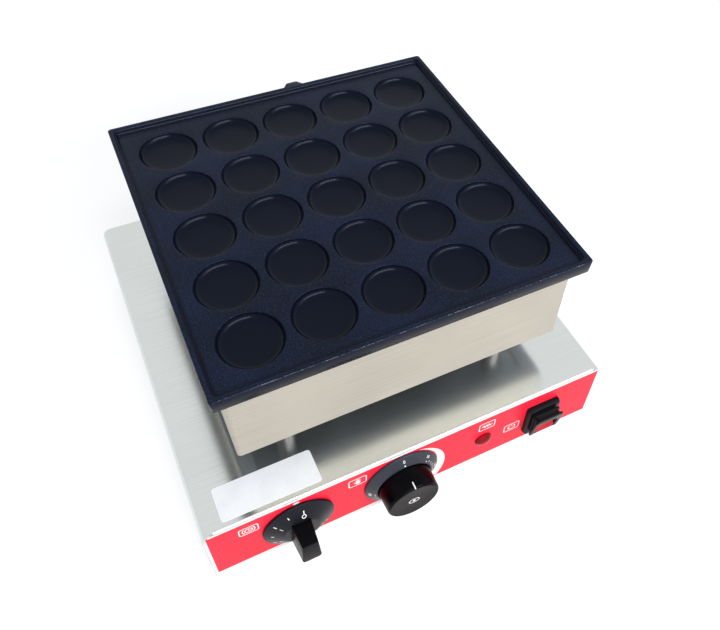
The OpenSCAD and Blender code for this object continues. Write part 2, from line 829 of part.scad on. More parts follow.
// Printed film on the front, rounded like the cover's bends
module panel_film() {
    h = cover_h - front_bend_r - film_margin - film_fit;
    color("#e23646") difference() {
        translate([0, front_y, base_z + film_margin]) rotate([90, 0, 0]) linear_extrude(film_t)
            bent_outline(base_w - 2 * film_margin, h, bend_r - film_margin);
        front_openings(over, 2 * over);
    }
}

module blank_label() {
    color("#f2f4f6") translate([label_x + label_w / 2, front_y + label_inset + label_d / 2, top_z])
        linear_extrude(label_t) rounded_rect(label_w, label_d, label_corner_r);
}

// Case of a control behind the front wall, with a threaded bushing through it and a bore for its shaft
module control_case(case_d, case_l, bushing_l, shaft_in) {
    difference() {
        union() {
            translate([0, 0, -sheet_t - case_l]) cylinder(h = case_l, d = case_d);
            translate([0, 0, -sheet_t - over]) cylinder(h = bushing_l + sheet_t + over, d = bushing_d);
        }
        translate([0, 0, -sheet_t - shaft_in - over])
            cylinder(h = bushing_l + sheet_t + shaft_in + 2 * over, d = shaft_d + 2 * shaft_play);
    }
}

module control_shaft(shaft_in, reach, flat_from) {
    translate([0, 0, -sheet_t - shaft_in]) cylinder(h = flat_from + sheet_t + shaft_in, d = shaft_d);
    translate([0, 0, flat_from]) linear_extrude(reach - flat_from) d_section(shaft_d);
}

module timer_case() {
    color(dark_steel) on_front(timer_x) control_case(timer_case_d, timer_case_l, timer_bushing, shaft_in);
}

module timer_nut() {
    color(dark_steel) on_front(timer_x) translate([0, 0, film_t])
        hex_nut(bushing_d + 4, nut_h, bushing_d + 2 * thread_fit);
}

module timer_shaft() {
    color(dark_steel) on_front(timer_x)
        control_shaft(shaft_in, timer_bore_end - knob_gap, timer_bushing + knob_gap - touch);
}

// Conical skirt, hollow behind, with a tapering bar grip
module timer_knob() {
    r = timer_skirt_d / 2;
    back = film_t + knob_gap;
    edge = film_t + timer_edge_h;
    top = film_t + timer_cone_h;
    wall = 2;
    boss_r = shaft_d / 2 + 2.6;
    boss_back = timer_bushing + knob_gap;
    root = top - 1;
    color(black) on_front(timer_x) difference() {
        union() {
            rotate_extrude() polygon([
                [r, back], [r, edge], [timer_hub_r, top], [0, top], [0, boss_back], [boss_r, boss_back],
                [boss_r, top - wall], [timer_hub_r - wall, top - wall],
                [r - wall, back + 0.4], [r - wall, back]
            ]);
            hull() {
                translate([0, 0, root]) linear_extrude(0.2)
                    square([grip_root_w, grip_root_h], center = true);
                translate([0, 0, timer_out - 2 * grip_bevel]) linear_extrude(0.2)
                    square([grip_tip_w + 0.4, grip_tip_h], center = true);
                translate([0, 0, timer_out - 0.2]) linear_extrude(0.2)
                    square([grip_tip_w - 2 * grip_bevel, grip_tip_h - 2 * grip_bevel], center = true);
            }
        }
        translate([0, 0, boss_back - over]) linear_extrude(timer_bore_end - boss_back + over)
            d_section(shaft_d, bore_play);
    }
}

module thermostat_case() {
    color(dark_steel) on_front(thermostat_x)
        control_case(thermostat_case_d, thermostat_case_l, thermostat_bushing, shaft_in);
}

module thermostat_nut() {
    color(dark_steel) on_front(thermostat_x) translate([0, 0, ring_back + ring_web])
        hex_nut(bushing_d + 4, nut_h, bushing_d + 2 * thread_fit);
}

// Fixed scale ring: a cone round a flat web that the nut clamps
module thermostat_ring() {
    r = ring_d / 2;
    inner_r = grip_d / 2 + ring_gap;
    color(black) on_front(thermostat_x) rotate_extrude() polygon([
        [bushing_d / 2 + hole_fit, ring_back], [r, ring_back], [r, ring_back + ring_edge_h],
        [inner_r + 0.6, ring_h], [inner_r, ring_h], [inner_r, ring_back + ring_web],
        [bushing_d / 2 + hole_fit, ring_back + ring_web]
    ]);
}

module thermostat_shaft() {
    color(dark_steel) on_front(thermostat_x)
        control_shaft(shaft_in, thermostat_bore_end - knob_gap, thermostat_bushing + knob_gap - touch);
}

// Round grip: a cup with a boss for the shaft
module thermostat_knob() {
    back = ring_back + ring_web + ring_gap;
    wall = 2.2;
    boss_r = shaft_d / 2 + 2.6;
    boss_back = thermostat_bushing + knob_gap;
    front_r = grip_front_d / 2;
    color(black) on_front(thermostat_x) difference() {
        rotate_extrude() polygon([
            [grip_d / 2 - wall, back], [grip_d / 2, back], [front_r, thermostat_out - grip_edge],
            [front_r - grip_edge, thermostat_out], [0, thermostat_out], [0, boss_back], [boss_r, boss_back],
            [boss_r, thermostat_out - wall], [front_r - wall, thermostat_out - wall]
        ]);
        translate([0, 0, boss_back - over]) linear_extrude(thermostat_bore_end - boss_back + over)
            d_section(shaft_d, bore_play);
    }
}

// Domed lens with a threaded stem through the panel
module lamp_lens() {
    r = lamp_d / 2;
    dome = lamp_out - film_t - 1;
    dome_r = (r * r + dome * dome) / (2 * dome);
    color("#7d1420") on_front(lamp_x) rotate_extrude() {
        translate([0, -lamp_stem_l]) square([lamp_stem_d / 2, lamp_stem_l + film_t + 0.5]);
        translate([0, film_t]) square([r, 1]);
        intersection() {
            translate([0, lamp_out - dome_r]) circle(dome_r, $fn = 180);
            translate([0, film_t + 0.5]) square([r, lamp_out]);
        }
    }
}

module lamp_nut() {
    color(dark_steel) on_front(lamp_x) translate([0, 0, -sheet_t - nut_h])
        hex_nut(lamp_stem_d + 4, nut_h, lamp_stem_d + 2 * thread_fit);
}

// Frame of the hood over the rocker: Y runs up its underside, Z out of it
module at_hood() {
    foot_out = hood_out - hood_h * sin(hood_lean) - hood_t * cos(hood_lean);
    translate([0, hood_foot, foot_out]) rotate([hood_lean, 0, 0]) children();
}

// The part of a child that lies behind the hood's underside
module behind_hood() {
    reach = 4 * bezel_h;
    intersection() {
        children();
        at_hood() translate([-reach / 2, -reach / 2, -reach]) cube(reach);
    }
}

// Bezel, neck, collar and a leaning hood in front, an open box behind, with holes for the rocker's pins
module switch_frame() {
    well_w = rocker_w + 2 * rocker_play;
    well_h = rocker_h + 2 * rocker_room;
    neck_wall = 1.5;
    collar_rim = 2.9;
    hood_rim = 3.4;
    collar_from = bezel_t + 1.6;
    collar_thick = 1.4;
    collar_top = film_t + collar_from + collar_thick;
    well_top = hood_out - 2.8;
    window_side = 0.3;
    window_top = 5.9;
    bezel_edge = 0.8;
    edge_from = 2.4;
    corner_r = 2.6;
    hood_corner_r = 4;
    floor_t = 2;
    color(black) on_front(switch_x) difference() {
        union() {
            translate([0, 0, -switch_back]) linear_extrude(switch_back + film_t + over)
                square([switch_body_w, switch_body_h], center = true);
            hull() {
                translate([0, 0, film_t]) linear_extrude(edge_from) square([bezel_w, bezel_h], center = true);
                translate([0, 0, film_t + bezel_t - touch]) linear_extrude(touch)
                    square([bezel_w - 2 * bezel_edge, bezel_h - 2 * bezel_edge], center = true);
            }
            behind_hood() linear_extrude(hood_out)
                rounded_rect(well_w + 2 * neck_wall, well_h + 2 * neck_wall, corner_r);
            translate([0, 0, film_t + collar_from]) linear_extrude(collar_thick)
                rounded_rect(well_w + 2 * collar_rim, well_h + 2 * collar_rim, corner_r);
            at_hood() translate([0, 0, -touch]) linear_extrude(hood_t + touch)
                bent_outline(well_w + 2 * hood_rim, hood_h, hood_corner_r);
        }
        translate([0, 0, floor_t - switch_back]) linear_extrude(switch_back - floor_t + well_top)
            square([well_w, well_h], center = true);
        translate([-well_w / 2 - window_side, -bezel_h, collar_top + window_side])
            cube([well_w + 2 * window_side, bezel_h + window_top, hood_out]);
        translate([0, 0, film_t + rocker_axis]) rotate([0, 90, 0])
            cylinder(h = well_w + 2 * pivot_hole, d = pivot_d + 2 * shaft_play, center = true);
    }
}

module switch_terminals() {
    color("#c9b06a") on_front(switch_x)
        for (x = [-1, 1], y = [-1, 1])
            translate([x * tab_x, y * tab_z, -switch_back - tab_l / 2])
                cube([tab_t, tab_w, tab_l], center = true);
}

// Red rocker with a V-shaped front, tilted so that its lower half stands out
module switch_rocker() {
    half_h = rocker_h / 2;
    crest = 3.8;
    root = 4;
    shoulder = 1.2;
    lip = 1.6;
    dip = 1.8;
    pin_l = rocker_w + 2 * rocker_play + 2 * pivot_l;
    color("#b3202c") on_front(switch_x) translate([0, 0, film_t + rocker_axis])
    rotate([-rocker_tilt, 0, 0]) {
        rotate([90, 0, 90]) linear_extrude(rocker_w, center = true) polygon([
            [-half_h, -root], [half_h, -root], [half_h, crest - shoulder], [half_h - lip, crest],
            [0, crest - dip], [lip - half_h, crest], [-half_h, crest - shoulder]
        ]);
        rotate([0, 90, 0]) cylinder(h = pin_l, d = pivot_d, center = true);
    }
}

module at_block_ways() {
    for (i = [-1 : 1])
        translate([block_x + i * block_pitch, block_y, 0]) children();
}

module terminal_block() {
    color("#e8e4d8") difference() {
        translate([block_x - block_w / 2, block_y - block_d / 2, inner_floor_z])
            cube([block_w, block_d, block_h]);
        at_block_ways() {
            translate([0, block_d / 4, block_bore_z]) rotate([-90, 0, 0])
                cylinder(h = block_d, d = 0.8 * stud_d);
            translate([0, 0, block_bore_z]) cylinder(h = block_h, d = stud_d);
        }
    }
}

module terminal_screws() {
    color("#c9b06a") at_block_ways() translate([0, 0, block_bore_z])
        cylinder(h = stud_d, d = stud_d - 2 * thread_fit);
}

// Sleeved wires between the terminal block, the switch, the timer, the thermostat and the lamp
module base_wiring() {
    tab_end = front_y + switch_back + tab_l;
    high_z = panel_z + wire_rise;
    low_z = panel_z - wire_drop;
    mid_y = front_y + sheet_t + max(timer_case_l, switch_l + tab_l) + wire_room;
    rear_y = mid_y + wire_step;
    turn_y = rear_y + wire_step;
    timer_y = front_y + sheet_t + timer_case_l;
    thermostat_y = front_y + sheet_t + thermostat_case_l;
    color("#3a3f46") {
        route([
            [block_x + block_pitch, block_y - block_d / 2, block_bore_z],
            [block_x + block_pitch, turn_y, block_bore_z], [switch_x + tab_x, turn_y, block_bore_z],
            [switch_x + tab_x, turn_y, panel_z + tab_z], [switch_x + tab_x, tab_end, panel_z + tab_z]
        ], wire_d, wire_bend);
        route([
            [switch_x - tab_x, tab_end, panel_z + tab_z], [switch_x - tab_x, rear_y, panel_z + tab_z],
            [switch_x - tab_x, rear_y, high_z], [timer_x + tab_x, rear_y, high_z],
            [timer_x + tab_x, timer_y, high_z]
        ], wire_d, wire_bend);
        route([
            [timer_x + tab_x, timer_y, low_z], [timer_x + tab_x, mid_y, low_z],
            [thermostat_x - 2 * tab_x, mid_y, low_z], [thermostat_x - 2 * tab_x, thermostat_y, low_z]
        ], wire_d, wire_bend);
        route([
            [lamp_x, front_y + lamp_stem_l, panel_z], [lamp_x, mid_y, panel_z],
            [lamp_x, mid_y, panel_z - tab_z],
            [switch_x - tab_x, mid_y, panel_z - tab_z], [switch_x - tab_x, tab_end, panel_z - tab_z]
        ], wire_d, wire_bend);
    }
}

module at_earth() {
    translate([base_w / 2 - flange_w - earth_side, back_y - earth_back, 0]) children();
}

module earth_stud() {
    color("#c9b06a") at_earth() {
        translate([0, 0, base_z]) pan_screw(1.8 * stud_d, 0.5 * stud_d, stud_d, 3.2 * stud_d);
        translate([0, 0, inner_floor_z]) cylinder(h = 0.8 * stud_d, d = 1.8 * stud_d, $fn = 6);
    }
}

// Gland body: hexagon outside, thread to both sides, cable bore right through
module cable_gland() {
    hex_h = 5;
    cap_l = gland_out - 9;
    inside = sheet_t + 8;
    color(black) on_back(gland_x) difference() {
        union() {
            cylinder(h = hex_h, d = gland_af / cos(30), $fn = 6);
            translate([0, 0, -inside]) cylinder(h = inside + cap_l + hex_h - over, d = gland_thread_d);
        }
        translate([0, 0, -inside - over]) cylinder(h = inside + gland_out + over, d = cable_bore_d);
    }
}

module gland_cap() {
    hex_h = 5;
    cap_l = gland_out - 9;
    crown_d = gland_thread_d - 1;
    color(black) on_back(gland_x) difference() {
        union() {
            translate([0, 0, hex_h]) cylinder(h = cap_l, d = gland_af / cos(30), $fn = 6);
            translate([0, 0, hex_h + cap_l])
                cylinder(h = gland_out - hex_h - cap_l, d1 = gland_af, d2 = crown_d);
        }
        translate([0, 0, hex_h - over]) cylinder(h = cap_l + over, d = gland_thread_d + 2 * thread_fit);
        cylinder(h = gland_out + over, d = cable_bore_d);
    }
}

module gland_locknut() {
    h = 4;
    color(black) on_back(gland_x) translate([0, 0, -sheet_t - h])
        hex_nut(gland_af, h, gland_thread_d + 2 * thread_fit);
}

baking_plate();
heater_box();
heater_box_floor();
insulation_mat();
heating_element();
element_bushes();
clamp_plate();
clamp_bolts();
plate_brackets();
plate_screws();
capillary_bulb();
bulb_saddle();
heater_leads();
support_posts();
post_bolts();
post_nuts();
wire_conduit();
base_cover();
bottom_plate();
bottom_screws();
rubber_feet();
foot_screws();
foot_nuts();
panel_film();
blank_label();
timer_case();
timer_nut();
timer_shaft();
timer_knob();
thermostat_case();
thermostat_nut();
thermostat_ring();
thermostat_shaft();
thermostat_knob();
lamp_lens();
lamp_nut();
switch_frame();
switch_terminals();
switch_rocker();
terminal_block();
terminal_screws();
base_wiring();
earth_stud();
cable_gland();
gland_cap();
gland_locknut();
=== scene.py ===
"""Looks of a countertop grill for mini pancakes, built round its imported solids."""
import logging
import math
from collections.abc import Callable, Sequence
from dataclasses import dataclass, field
from enum import Enum
from functools import partial

import bmesh
import bpy
from bmesh.types import BMEdge, BMesh, BMVert
from bpy.types import Curve, Material, Mesh, NodeSocket, NodeTree
from mathutils import Matrix, Vector


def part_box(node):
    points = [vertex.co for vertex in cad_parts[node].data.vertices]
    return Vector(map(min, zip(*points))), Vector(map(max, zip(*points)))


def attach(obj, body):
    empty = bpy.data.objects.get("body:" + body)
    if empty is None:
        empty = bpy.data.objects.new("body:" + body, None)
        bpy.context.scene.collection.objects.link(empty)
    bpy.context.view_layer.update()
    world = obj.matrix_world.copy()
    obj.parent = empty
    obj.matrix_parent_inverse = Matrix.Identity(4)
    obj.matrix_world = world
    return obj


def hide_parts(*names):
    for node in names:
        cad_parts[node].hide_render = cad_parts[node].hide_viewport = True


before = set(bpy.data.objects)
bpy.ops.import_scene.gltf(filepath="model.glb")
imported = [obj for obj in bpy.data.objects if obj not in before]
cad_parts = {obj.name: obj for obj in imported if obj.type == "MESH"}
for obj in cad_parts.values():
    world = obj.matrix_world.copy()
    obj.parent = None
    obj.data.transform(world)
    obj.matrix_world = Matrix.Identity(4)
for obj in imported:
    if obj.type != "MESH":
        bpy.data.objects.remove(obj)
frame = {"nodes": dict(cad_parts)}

LOG = logging.getLogger("grill")
MM = 0.001
FULL_TURN = 2 * math.pi

Point = tuple[float, float]
Triple = tuple[float, float, float]
Colour = tuple[float, float, float, float]
Inputs = dict[int | str, object]
Adder = Callable[..., NodeSocket]

# Output and kind of a mix of colours, and the stretch that holds most of a noise's values
COLOUR_MIX = {"out": 2, "data_type": "RGBA"}
SPREAD = {1: 0.35, 2: 0.65}


def srgb(code: str) -> Colour:
    """Turn an sRGB hex colour to linear light.

    Args:
        code: Colour such as "#c0ffee".

    Returns:
        Linear red, green, blue and an alpha of one.
    """
    channels = [int(code[i:i + 2], 16) / 255 for i in (1, 3, 5)]
    linear = [c / 12.92 if c <= 0.04045 else ((c + 0.055) / 1.055) ** 2.4 for c in channels]
    return linear[0], linear[1], linear[2], 1.0


def per_mm(size_mm: float) -> float:
    """Return the pattern scale that gives features of a real size."""
    return 1 / (size_mm * MM)


def add_node(
    tree: NodeTree, kind: str, inputs: Inputs | None = None, out: int | str = 0, **settings: object
) -> NodeSocket | None:
    """Add a node with its settings, and set or link its inputs.

    Args:
        tree: Node tree that takes the node.
        kind: Blender's name of the node type.
        inputs: Input name or number to a value, or to the socket that feeds it.
        out: Name or number of the output that is wanted.
        **settings: Properties of the node itself.

    Returns:
        The wanted output, where the node has one.
    """
    made = tree.nodes.new(kind)
    for name, value in settings.items():
        setattr(made, name, value)
    for name, value in (inputs or {}).items():
        if isinstance(value, NodeSocket):
            tree.links.new(value, made.inputs[name])
        else:
            made.inputs[name].default_value = value
    return made.outputs[out] if made.outputs else None


# Finishes


@dataclass(frozen=True)
class Finish:
    """A surface finish that becomes one material.

    Attributes:
        name: Plain name of the material.
    """

    name: str

    def material(self) -> Material:
        """Return the finish's material, made on its first use."""
        found = bpy.data.materials.get(self.name)
        if found is not None:
            return found
        made = bpy.data.materials.new(self.name)
        made.use_nodes = True
        made.node_tree.nodes.clear()
        add = partial(add_node, made.node_tree)
        place = add("ShaderNodeTexCoord", out="Object")
        shader = add("ShaderNodeBsdfPrincipled", self.sockets(add, place))
        add("ShaderNodeOutputMaterial", {"Surface": shader})
        return made

    def sockets(self, add: Adder, place: NodeSocket) -> Inputs:
        """Return what goes to the shader's sockets; each finish has its own.

        Args:
            add: Adds a node to the material's tree.
            place: Object coordinates of the surface, in metres.

        Returns:
            Socket name to a value, or to the socket that feeds it.
        """
        raise NotImplementedError


class Grain(Enum):
    """Which way the brushed lines of a sheet run."""

    ACROSS_TOP = "side to side over the top, and down the sides"
    LEVEL = "level round the walls"


# Long hairlines, and reflections drawn out across them
@dataclass(frozen=True)
class BrushedSheet(Finish):
    """Stainless steel sheet, brushed with a belt.

    Attributes:
        grain: Which way the lines run.
        pale: Colour of the lines' crests.
        deep: Colour between them.
        under: Colour of faces that look down, darker as painted shade.
        smooth: Roughness where the brushing is finest.
        rough: Roughness where it is coarsest.
        line_mm: Width of a line, coarser than the real 0.1 mm so that it shows.
        run_mm: Length of a line.
        patch_mm: Size of its duller patches.
        smear: How much a reflection is drawn out across the lines.
    """

    grain: Grain = Grain.ACROSS_TOP
    pale: str = "#d6dad9"
    deep: str = "#ced2d1"
    under: str = "#a8aab0"
    smooth: float = 0.18
    rough: float = 0.22
    line_mm: float = 0.5
    run_mm: float = 90.0
    patch_mm: float = 55.0
    smear: float = 0.8

    def sockets(self, add: Adder, place: NodeSocket) -> Inputs:
        """Return what goes to the shader's sockets."""
        steep = 0.7
        axis = add("ShaderNodeSeparateXYZ", {0: place}).node.outputs
        normal = add("ShaderNodeTexCoord", out="Normal")
        facing = add("ShaderNodeSeparateXYZ", {0: normal}).node.outputs
        tilt = add("ShaderNodeMath", {0: facing["Y"]}, operation="ABSOLUTE")
        # Faces that look down take the darker under colour: painted shade
        down = add("ShaderNodeMath", {0: facing["Z"], 1: -steep}, operation="LESS_THAN")
        upright = add("ShaderNodeMath", {0: tilt, 1: steep}, operation="GREATER_THAN")
        if self.grain is Grain.LEVEL:
            across = axis["Z"]
            along = add("ShaderNodeMath", {0: axis["X"], 1: axis["Y"]}, operation="ADD")
            stretch = add("ShaderNodeCombineXYZ", {"Z": 1.0})
        else:
            across = add("ShaderNodeMix", {0: upright, 2: axis["Y"], 3: axis["Z"]})
            along = add("ShaderNodeMath", {0: axis["X"], 1: axis["Z"]}, operation="ADD")
            level = add("ShaderNodeMath", {0: 1.0, 1: upright}, operation="SUBTRACT")
            stretch = add("ShaderNodeCombineXYZ", {"Y": level, "Z": upright})
        drawn = add("ShaderNodeMath", {0: along, 1: self.line_mm / self.run_mm}, operation="MULTIPLY")
        streak = add("ShaderNodeCombineXYZ", {"X": drawn, "Y": across})
        lines = add("ShaderNodeTexNoise", {"Vector": streak, "Scale": per_mm(self.line_mm), "Detail": 4.0})
        smear = add("ShaderNodeTexNoise", {"Vector": place, "Scale": per_mm(self.patch_mm), "Detail": 2.0})
        both = add("ShaderNodeMix", {0: 0.3, 2: lines, 3: smear})
        shade = add("ShaderNodeMapRange", {"Value": both, **SPREAD})
        bright = add("ShaderNodeMix", {0: shade, 6: srgb(self.deep), 7: srgb(self.pale)}, **COLOUR_MIX)
        return {
            "Base Color": add("ShaderNodeMix", {0: down, 6: bright, 7: srgb(self.under)}, **COLOUR_MIX),
            "Roughness": add("ShaderNodeMapRange", {"Value": shade, 3: self.rough, 4: self.smooth}),
            "Metallic": 1.0,
            "Anisotropic": self.smear,
            "Tangent": stretch,
            "Normal": add("ShaderNodeBump", {"Height": lines, "Distance": 0.006 * MM, "Strength": 0.06}),
        }


# A satin skin with a fine orange peel and pale specks, darker in the recesses and the rim's inner corner
# as painted shade, and rubbed to bare metal along the rim's front edge
@dataclass(frozen=True)
class NonStickCoat(Finish):
    """Black non-stick coat, sprayed on a cast aluminium plate.

    Attributes:
        half_w: Half the plate's width, in millimetres.
        half_d: Half its depth.
        middle: Place of the plate's middle at the rim's level, in millimetres.
        floor: Depth of the plate's floor under its rim.
        speck_mm: Size of a speck, about the finest that the picture can show.
        peel_mm: Size of the orange peel's dimples.
        cloud_mm: Size of its patches.
        rub_mm: Size of the stretches that are rubbed bare.
        chip_mm: Size of the chips along them.
        coat: Colour of the coat.
        shade: Colour of its darker patches.
        fleck: Colour of its specks.
        soaked: Colour of the painted shade in the recesses and in the rim's inner corner.
        bare: Colour of the rubbed edge.
        sheen: Colour of what it mirrors.
    """

    half_w: float = 124.0
    half_d: float = 124.5
    middle: Triple = (0.0, 0.0, 0.0)
    floor: float = 4.1
    speck_mm: float = 0.7
    peel_mm: float = 1.6
    cloud_mm: float = 38.0
    rub_mm: float = 7.0
    chip_mm: float = 1.4
    coat: str = "#131b2f"
    shade: str = "#0e1320"
    fleck: str = "#3a4561"
    soaked: str = "#060a18"
    bare: str = "#83858c"
    sheen: str = "#cddbf5"

    def sockets(self, add: Adder, place: NodeSocket) -> Inputs:
        """Return what goes to the shader's sockets."""
        speck = add("ShaderNodeTexNoise", {"Vector": place, "Scale": per_mm(self.speck_mm), "Detail": 2.0})
        peel = add("ShaderNodeTexNoise", {"Vector": place, "Scale": per_mm(self.peel_mm), "Detail": 3.0})
        cloud = add("ShaderNodeTexNoise", {"Vector": place, "Scale": per_mm(self.cloud_mm), "Detail": 3.0})
        patch = add("ShaderNodeMapRange", {"Value": cloud, **SPREAD})
        coat = add("ShaderNodeMix", {0: patch, 6: srgb(self.shade), 7: srgb(self.coat)}, **COLOUR_MIX)
        bright = add("ShaderNodeMapRange", {"Value": speck, 1: 0.55, 2: 0.72, 4: 0.6})
        flecked = add("ShaderNodeMix", {0: bright, 6: coat, 7: srgb(self.fleck)}, **COLOUR_MIX)
        height = add("ShaderNodeSeparateXYZ", {0: place}, "Z")
        level = self.middle[2] - self.floor
        # Painted shade: the recesses and the foot of the rim's inner wall are darkened towards the shade
        # colour
        deep = add("ShaderNodeMapRange", {"Value": height, 1: (level - 0.1) * MM, 2: (level - 1.2) * MM})
        low = add("ShaderNodeMapRange", {"Value": height, 1: (level + 3.6) * MM, 2: (level + 2.6) * MM})
        inset = self.inset(add, place)
        groove = add("ShaderNodeMapRange", {"Value": inset, 1: 7.0 * MM, 2: 5.0 * MM})
        corner = add("ShaderNodeMath", {0: groove, 1: low}, operation="MULTIPLY")
        soaked = add("ShaderNodeMath", {0: deep, 1: corner}, operation="MAXIMUM")
        share = add("ShaderNodeMath", {0: soaked, 1: 0.95}, operation="MULTIPLY")
        shaded_coat = add("ShaderNodeMix", {0: share, 6: flecked, 7: srgb(self.soaked)}, **COLOUR_MIX)
        worn = self.wear(add, place, inset)
        grit = add("ShaderNodeMix", {0: 0.3, 2: peel, 3: speck})
        return {
            "Base Color": add("ShaderNodeMix", {0: worn, 6: shaded_coat, 7: srgb(self.bare)}, **COLOUR_MIX),
            "Metallic": add("ShaderNodeMath", {0: worn, 1: 0.6}, operation="MULTIPLY"),
            "Roughness": add("ShaderNodeMapRange", {"Value": peel, 1: 0.3, 2: 0.7, 3: 0.19, 4: 0.26}),
            "IOR": 1.42,
            "Specular IOR Level": 0.17,
            "Specular Tint": srgb(self.sheen),
            "Normal": add("ShaderNodeBump", {"Height": grit, "Distance": 0.07 * MM, "Strength": 0.5}),
        }

    def inset(self, add: Adder, place: NodeSocket) -> NodeSocket:
        """Return how far in from the plate's edge a point lies.

        Args:
            add: Adds a node to the material's tree.
            place: Object coordinates of the surface, in metres.

        Returns:
            The distance, in metres.
        """
        back = tuple(-c * MM for c in self.middle)
        moved = add("ShaderNodeVectorMath", {0: place, 1: back}, operation="ADD")
        spread = add("ShaderNodeVectorMath", {0: moved}, operation="ABSOLUTE")
        half = (self.half_w * MM, self.half_d * MM, 0.0)
        inside = add("ShaderNodeVectorMath", {0: half, 1: spread}, operation="SUBTRACT")
        axis = add("ShaderNodeSeparateXYZ", {0: inside}).node.outputs
        return add("ShaderNodeMath", {0: axis["X"], 1: axis["Y"]}, operation="MINIMUM")

    def wear(self, add: Adder, place: NodeSocket, inset: NodeSocket) -> NodeSocket:
        """Return where the rim's outer edge is rubbed bare, mostly in front.

        Args:
            add: Adds a node to the material's tree.
            place: Object coordinates of the surface, in metres.
            inset: Distance in from the plate's edge, in metres.

        Returns:
            More than zero where the metal is bare.
        """
        axis = add("ShaderNodeSeparateXYZ", {0: place}).node.outputs
        near = self.middle[1] - self.half_d
        edge = add("ShaderNodeMapRange", {"Value": inset, 1: 1.0 * MM, 2: 0.3 * MM})
        front = add("ShaderNodeMapRange", {
            "Value": axis["Y"], 1: (near + 8.0) * MM, 2: (near + 30.0) * MM, 3: 1.0, 4: 0.8,
        })
        top = add("ShaderNodeMapRange", {
            "Value": axis["Z"], 1: (self.middle[2] - 0.9) * MM, 2: (self.middle[2] - 0.4) * MM,
        })
        broad = add("ShaderNodeTexNoise", {"Vector": place, "Scale": per_mm(self.rub_mm), "Detail": 5.0})
        chip = add("ShaderNodeTexNoise", {"Vector": place, "Scale": per_mm(self.chip_mm), "Detail": 2.0})
        rubbed = add("ShaderNodeMix", {0: 0.5, 2: broad, 3: chip})
        for factor in (front, top, rubbed):
            edge = add("ShaderNodeMath", {0: edge, 1: factor}, operation="MULTIPLY")
        return add("ShaderNodeMapRange", {"Value": edge, 1: 0.46, 2: 0.6, 4: 0.4})


# A red field seen through a clear satin face, inside a white border
@dataclass(frozen=True)
class PrintedFilm(Finish):
    """Polycarbonate film, printed on its back.

    Attributes:
        low: Left and lower limit of the red field, in millimetres.
        high: Right and upper limit.
        red: Colour of the field.
        dull: Colour of its hazy patches.
        border: Colour of the border.
        haze_mm: Size of the patches.
        tooth_mm: Size of the satin face's tooth, coarser than a real film's.
    """

    low: Point = (0.0, 0.0)
    high: Point = (0.0, 0.0)
    red: str = "#fd2741"
    dull: str = "#f9233d"
    border: str = "#f4f2ef"
    haze_mm: float = 70.0
    tooth_mm: float = 0.35

    def sockets(self, add: Adder, place: NodeSocket) -> Inputs:
        """Return what goes to the shader's sockets."""
        axis = add("ShaderNodeSeparateXYZ", {0: place}).node.outputs
        inside = None
        for value, name in zip((self.low, self.high), ("GREATER_THAN", "LESS_THAN")):
            for limit, line in zip(value, ("X", "Z")):
                test = add("ShaderNodeMath", {0: axis[line], 1: limit * MM}, operation=name)
                inside = test if inside is None else add(
                    "ShaderNodeMath", {0: inside, 1: test}, operation="MULTIPLY"
                )
        haze = add("ShaderNodeTexNoise", {"Vector": place, "Scale": per_mm(self.haze_mm), "Detail": 2.0})
        patch = add("ShaderNodeMapRange", {"Value": haze, 1: 0.3, 2: 0.7})
        red = add("ShaderNodeMix", {0: patch, 6: srgb(self.dull), 7: srgb(self.red)}, **COLOUR_MIX)
        tooth = add("ShaderNodeTexNoise", {"Vector": place, "Scale": per_mm(self.tooth_mm), "Detail": 1.0})
        return {
            "Base Color": add("ShaderNodeMix", {0: inside, 6: srgb(self.border), 7: red}, **COLOUR_MIX),
            "Roughness": add("ShaderNodeMapRange", {"Value": patch, 3: 0.38, 4: 0.46}),
            "IOR": 1.58,
            "Specular IOR Level": 0.1,
            "Normal": add("ShaderNodeBump", {"Height": tooth, "Distance": 0.01 * MM, "Strength": 0.3}),
        }


@dataclass(frozen=True)
class Mottled(Finish):
    """Stuff of one colour with soft patches of a second.

    Attributes:
        colour: Main colour.
        shade: Colour of its darker or duller patches.
        roughness: Mean roughness.
    """

    colour: str = "#0d0e13"
    shade: str = "#08090d"
    roughness: float = 0.4

    def mottled(self, add: Adder, pattern: NodeSocket, duller: float, shinier: float) -> Inputs:
        """Return the colour and the roughness that follow a pattern.

        Args:
            add: Adds a node to the material's tree.
            pattern: Noise that makes the patches.
            duller: Roughness over the mean in the patches.
            shinier: Roughness under the mean between them.

        Returns:
            Socket name to the socket that feeds it.
        """
        patch = add("ShaderNodeMapRange", {"Value": pattern, **SPREAD})
        rough = {3: self.roughness + duller, 4: self.roughness - shinier}
        return {
            "Base Color": add(
                "ShaderNodeMix", {0: patch, 6: srgb(self.shade), 7: srgb(self.colour)}, **COLOUR_MIX
            ),
            "Roughness": add("ShaderNodeMapRange", {"Value": patch, **rough}),
        }


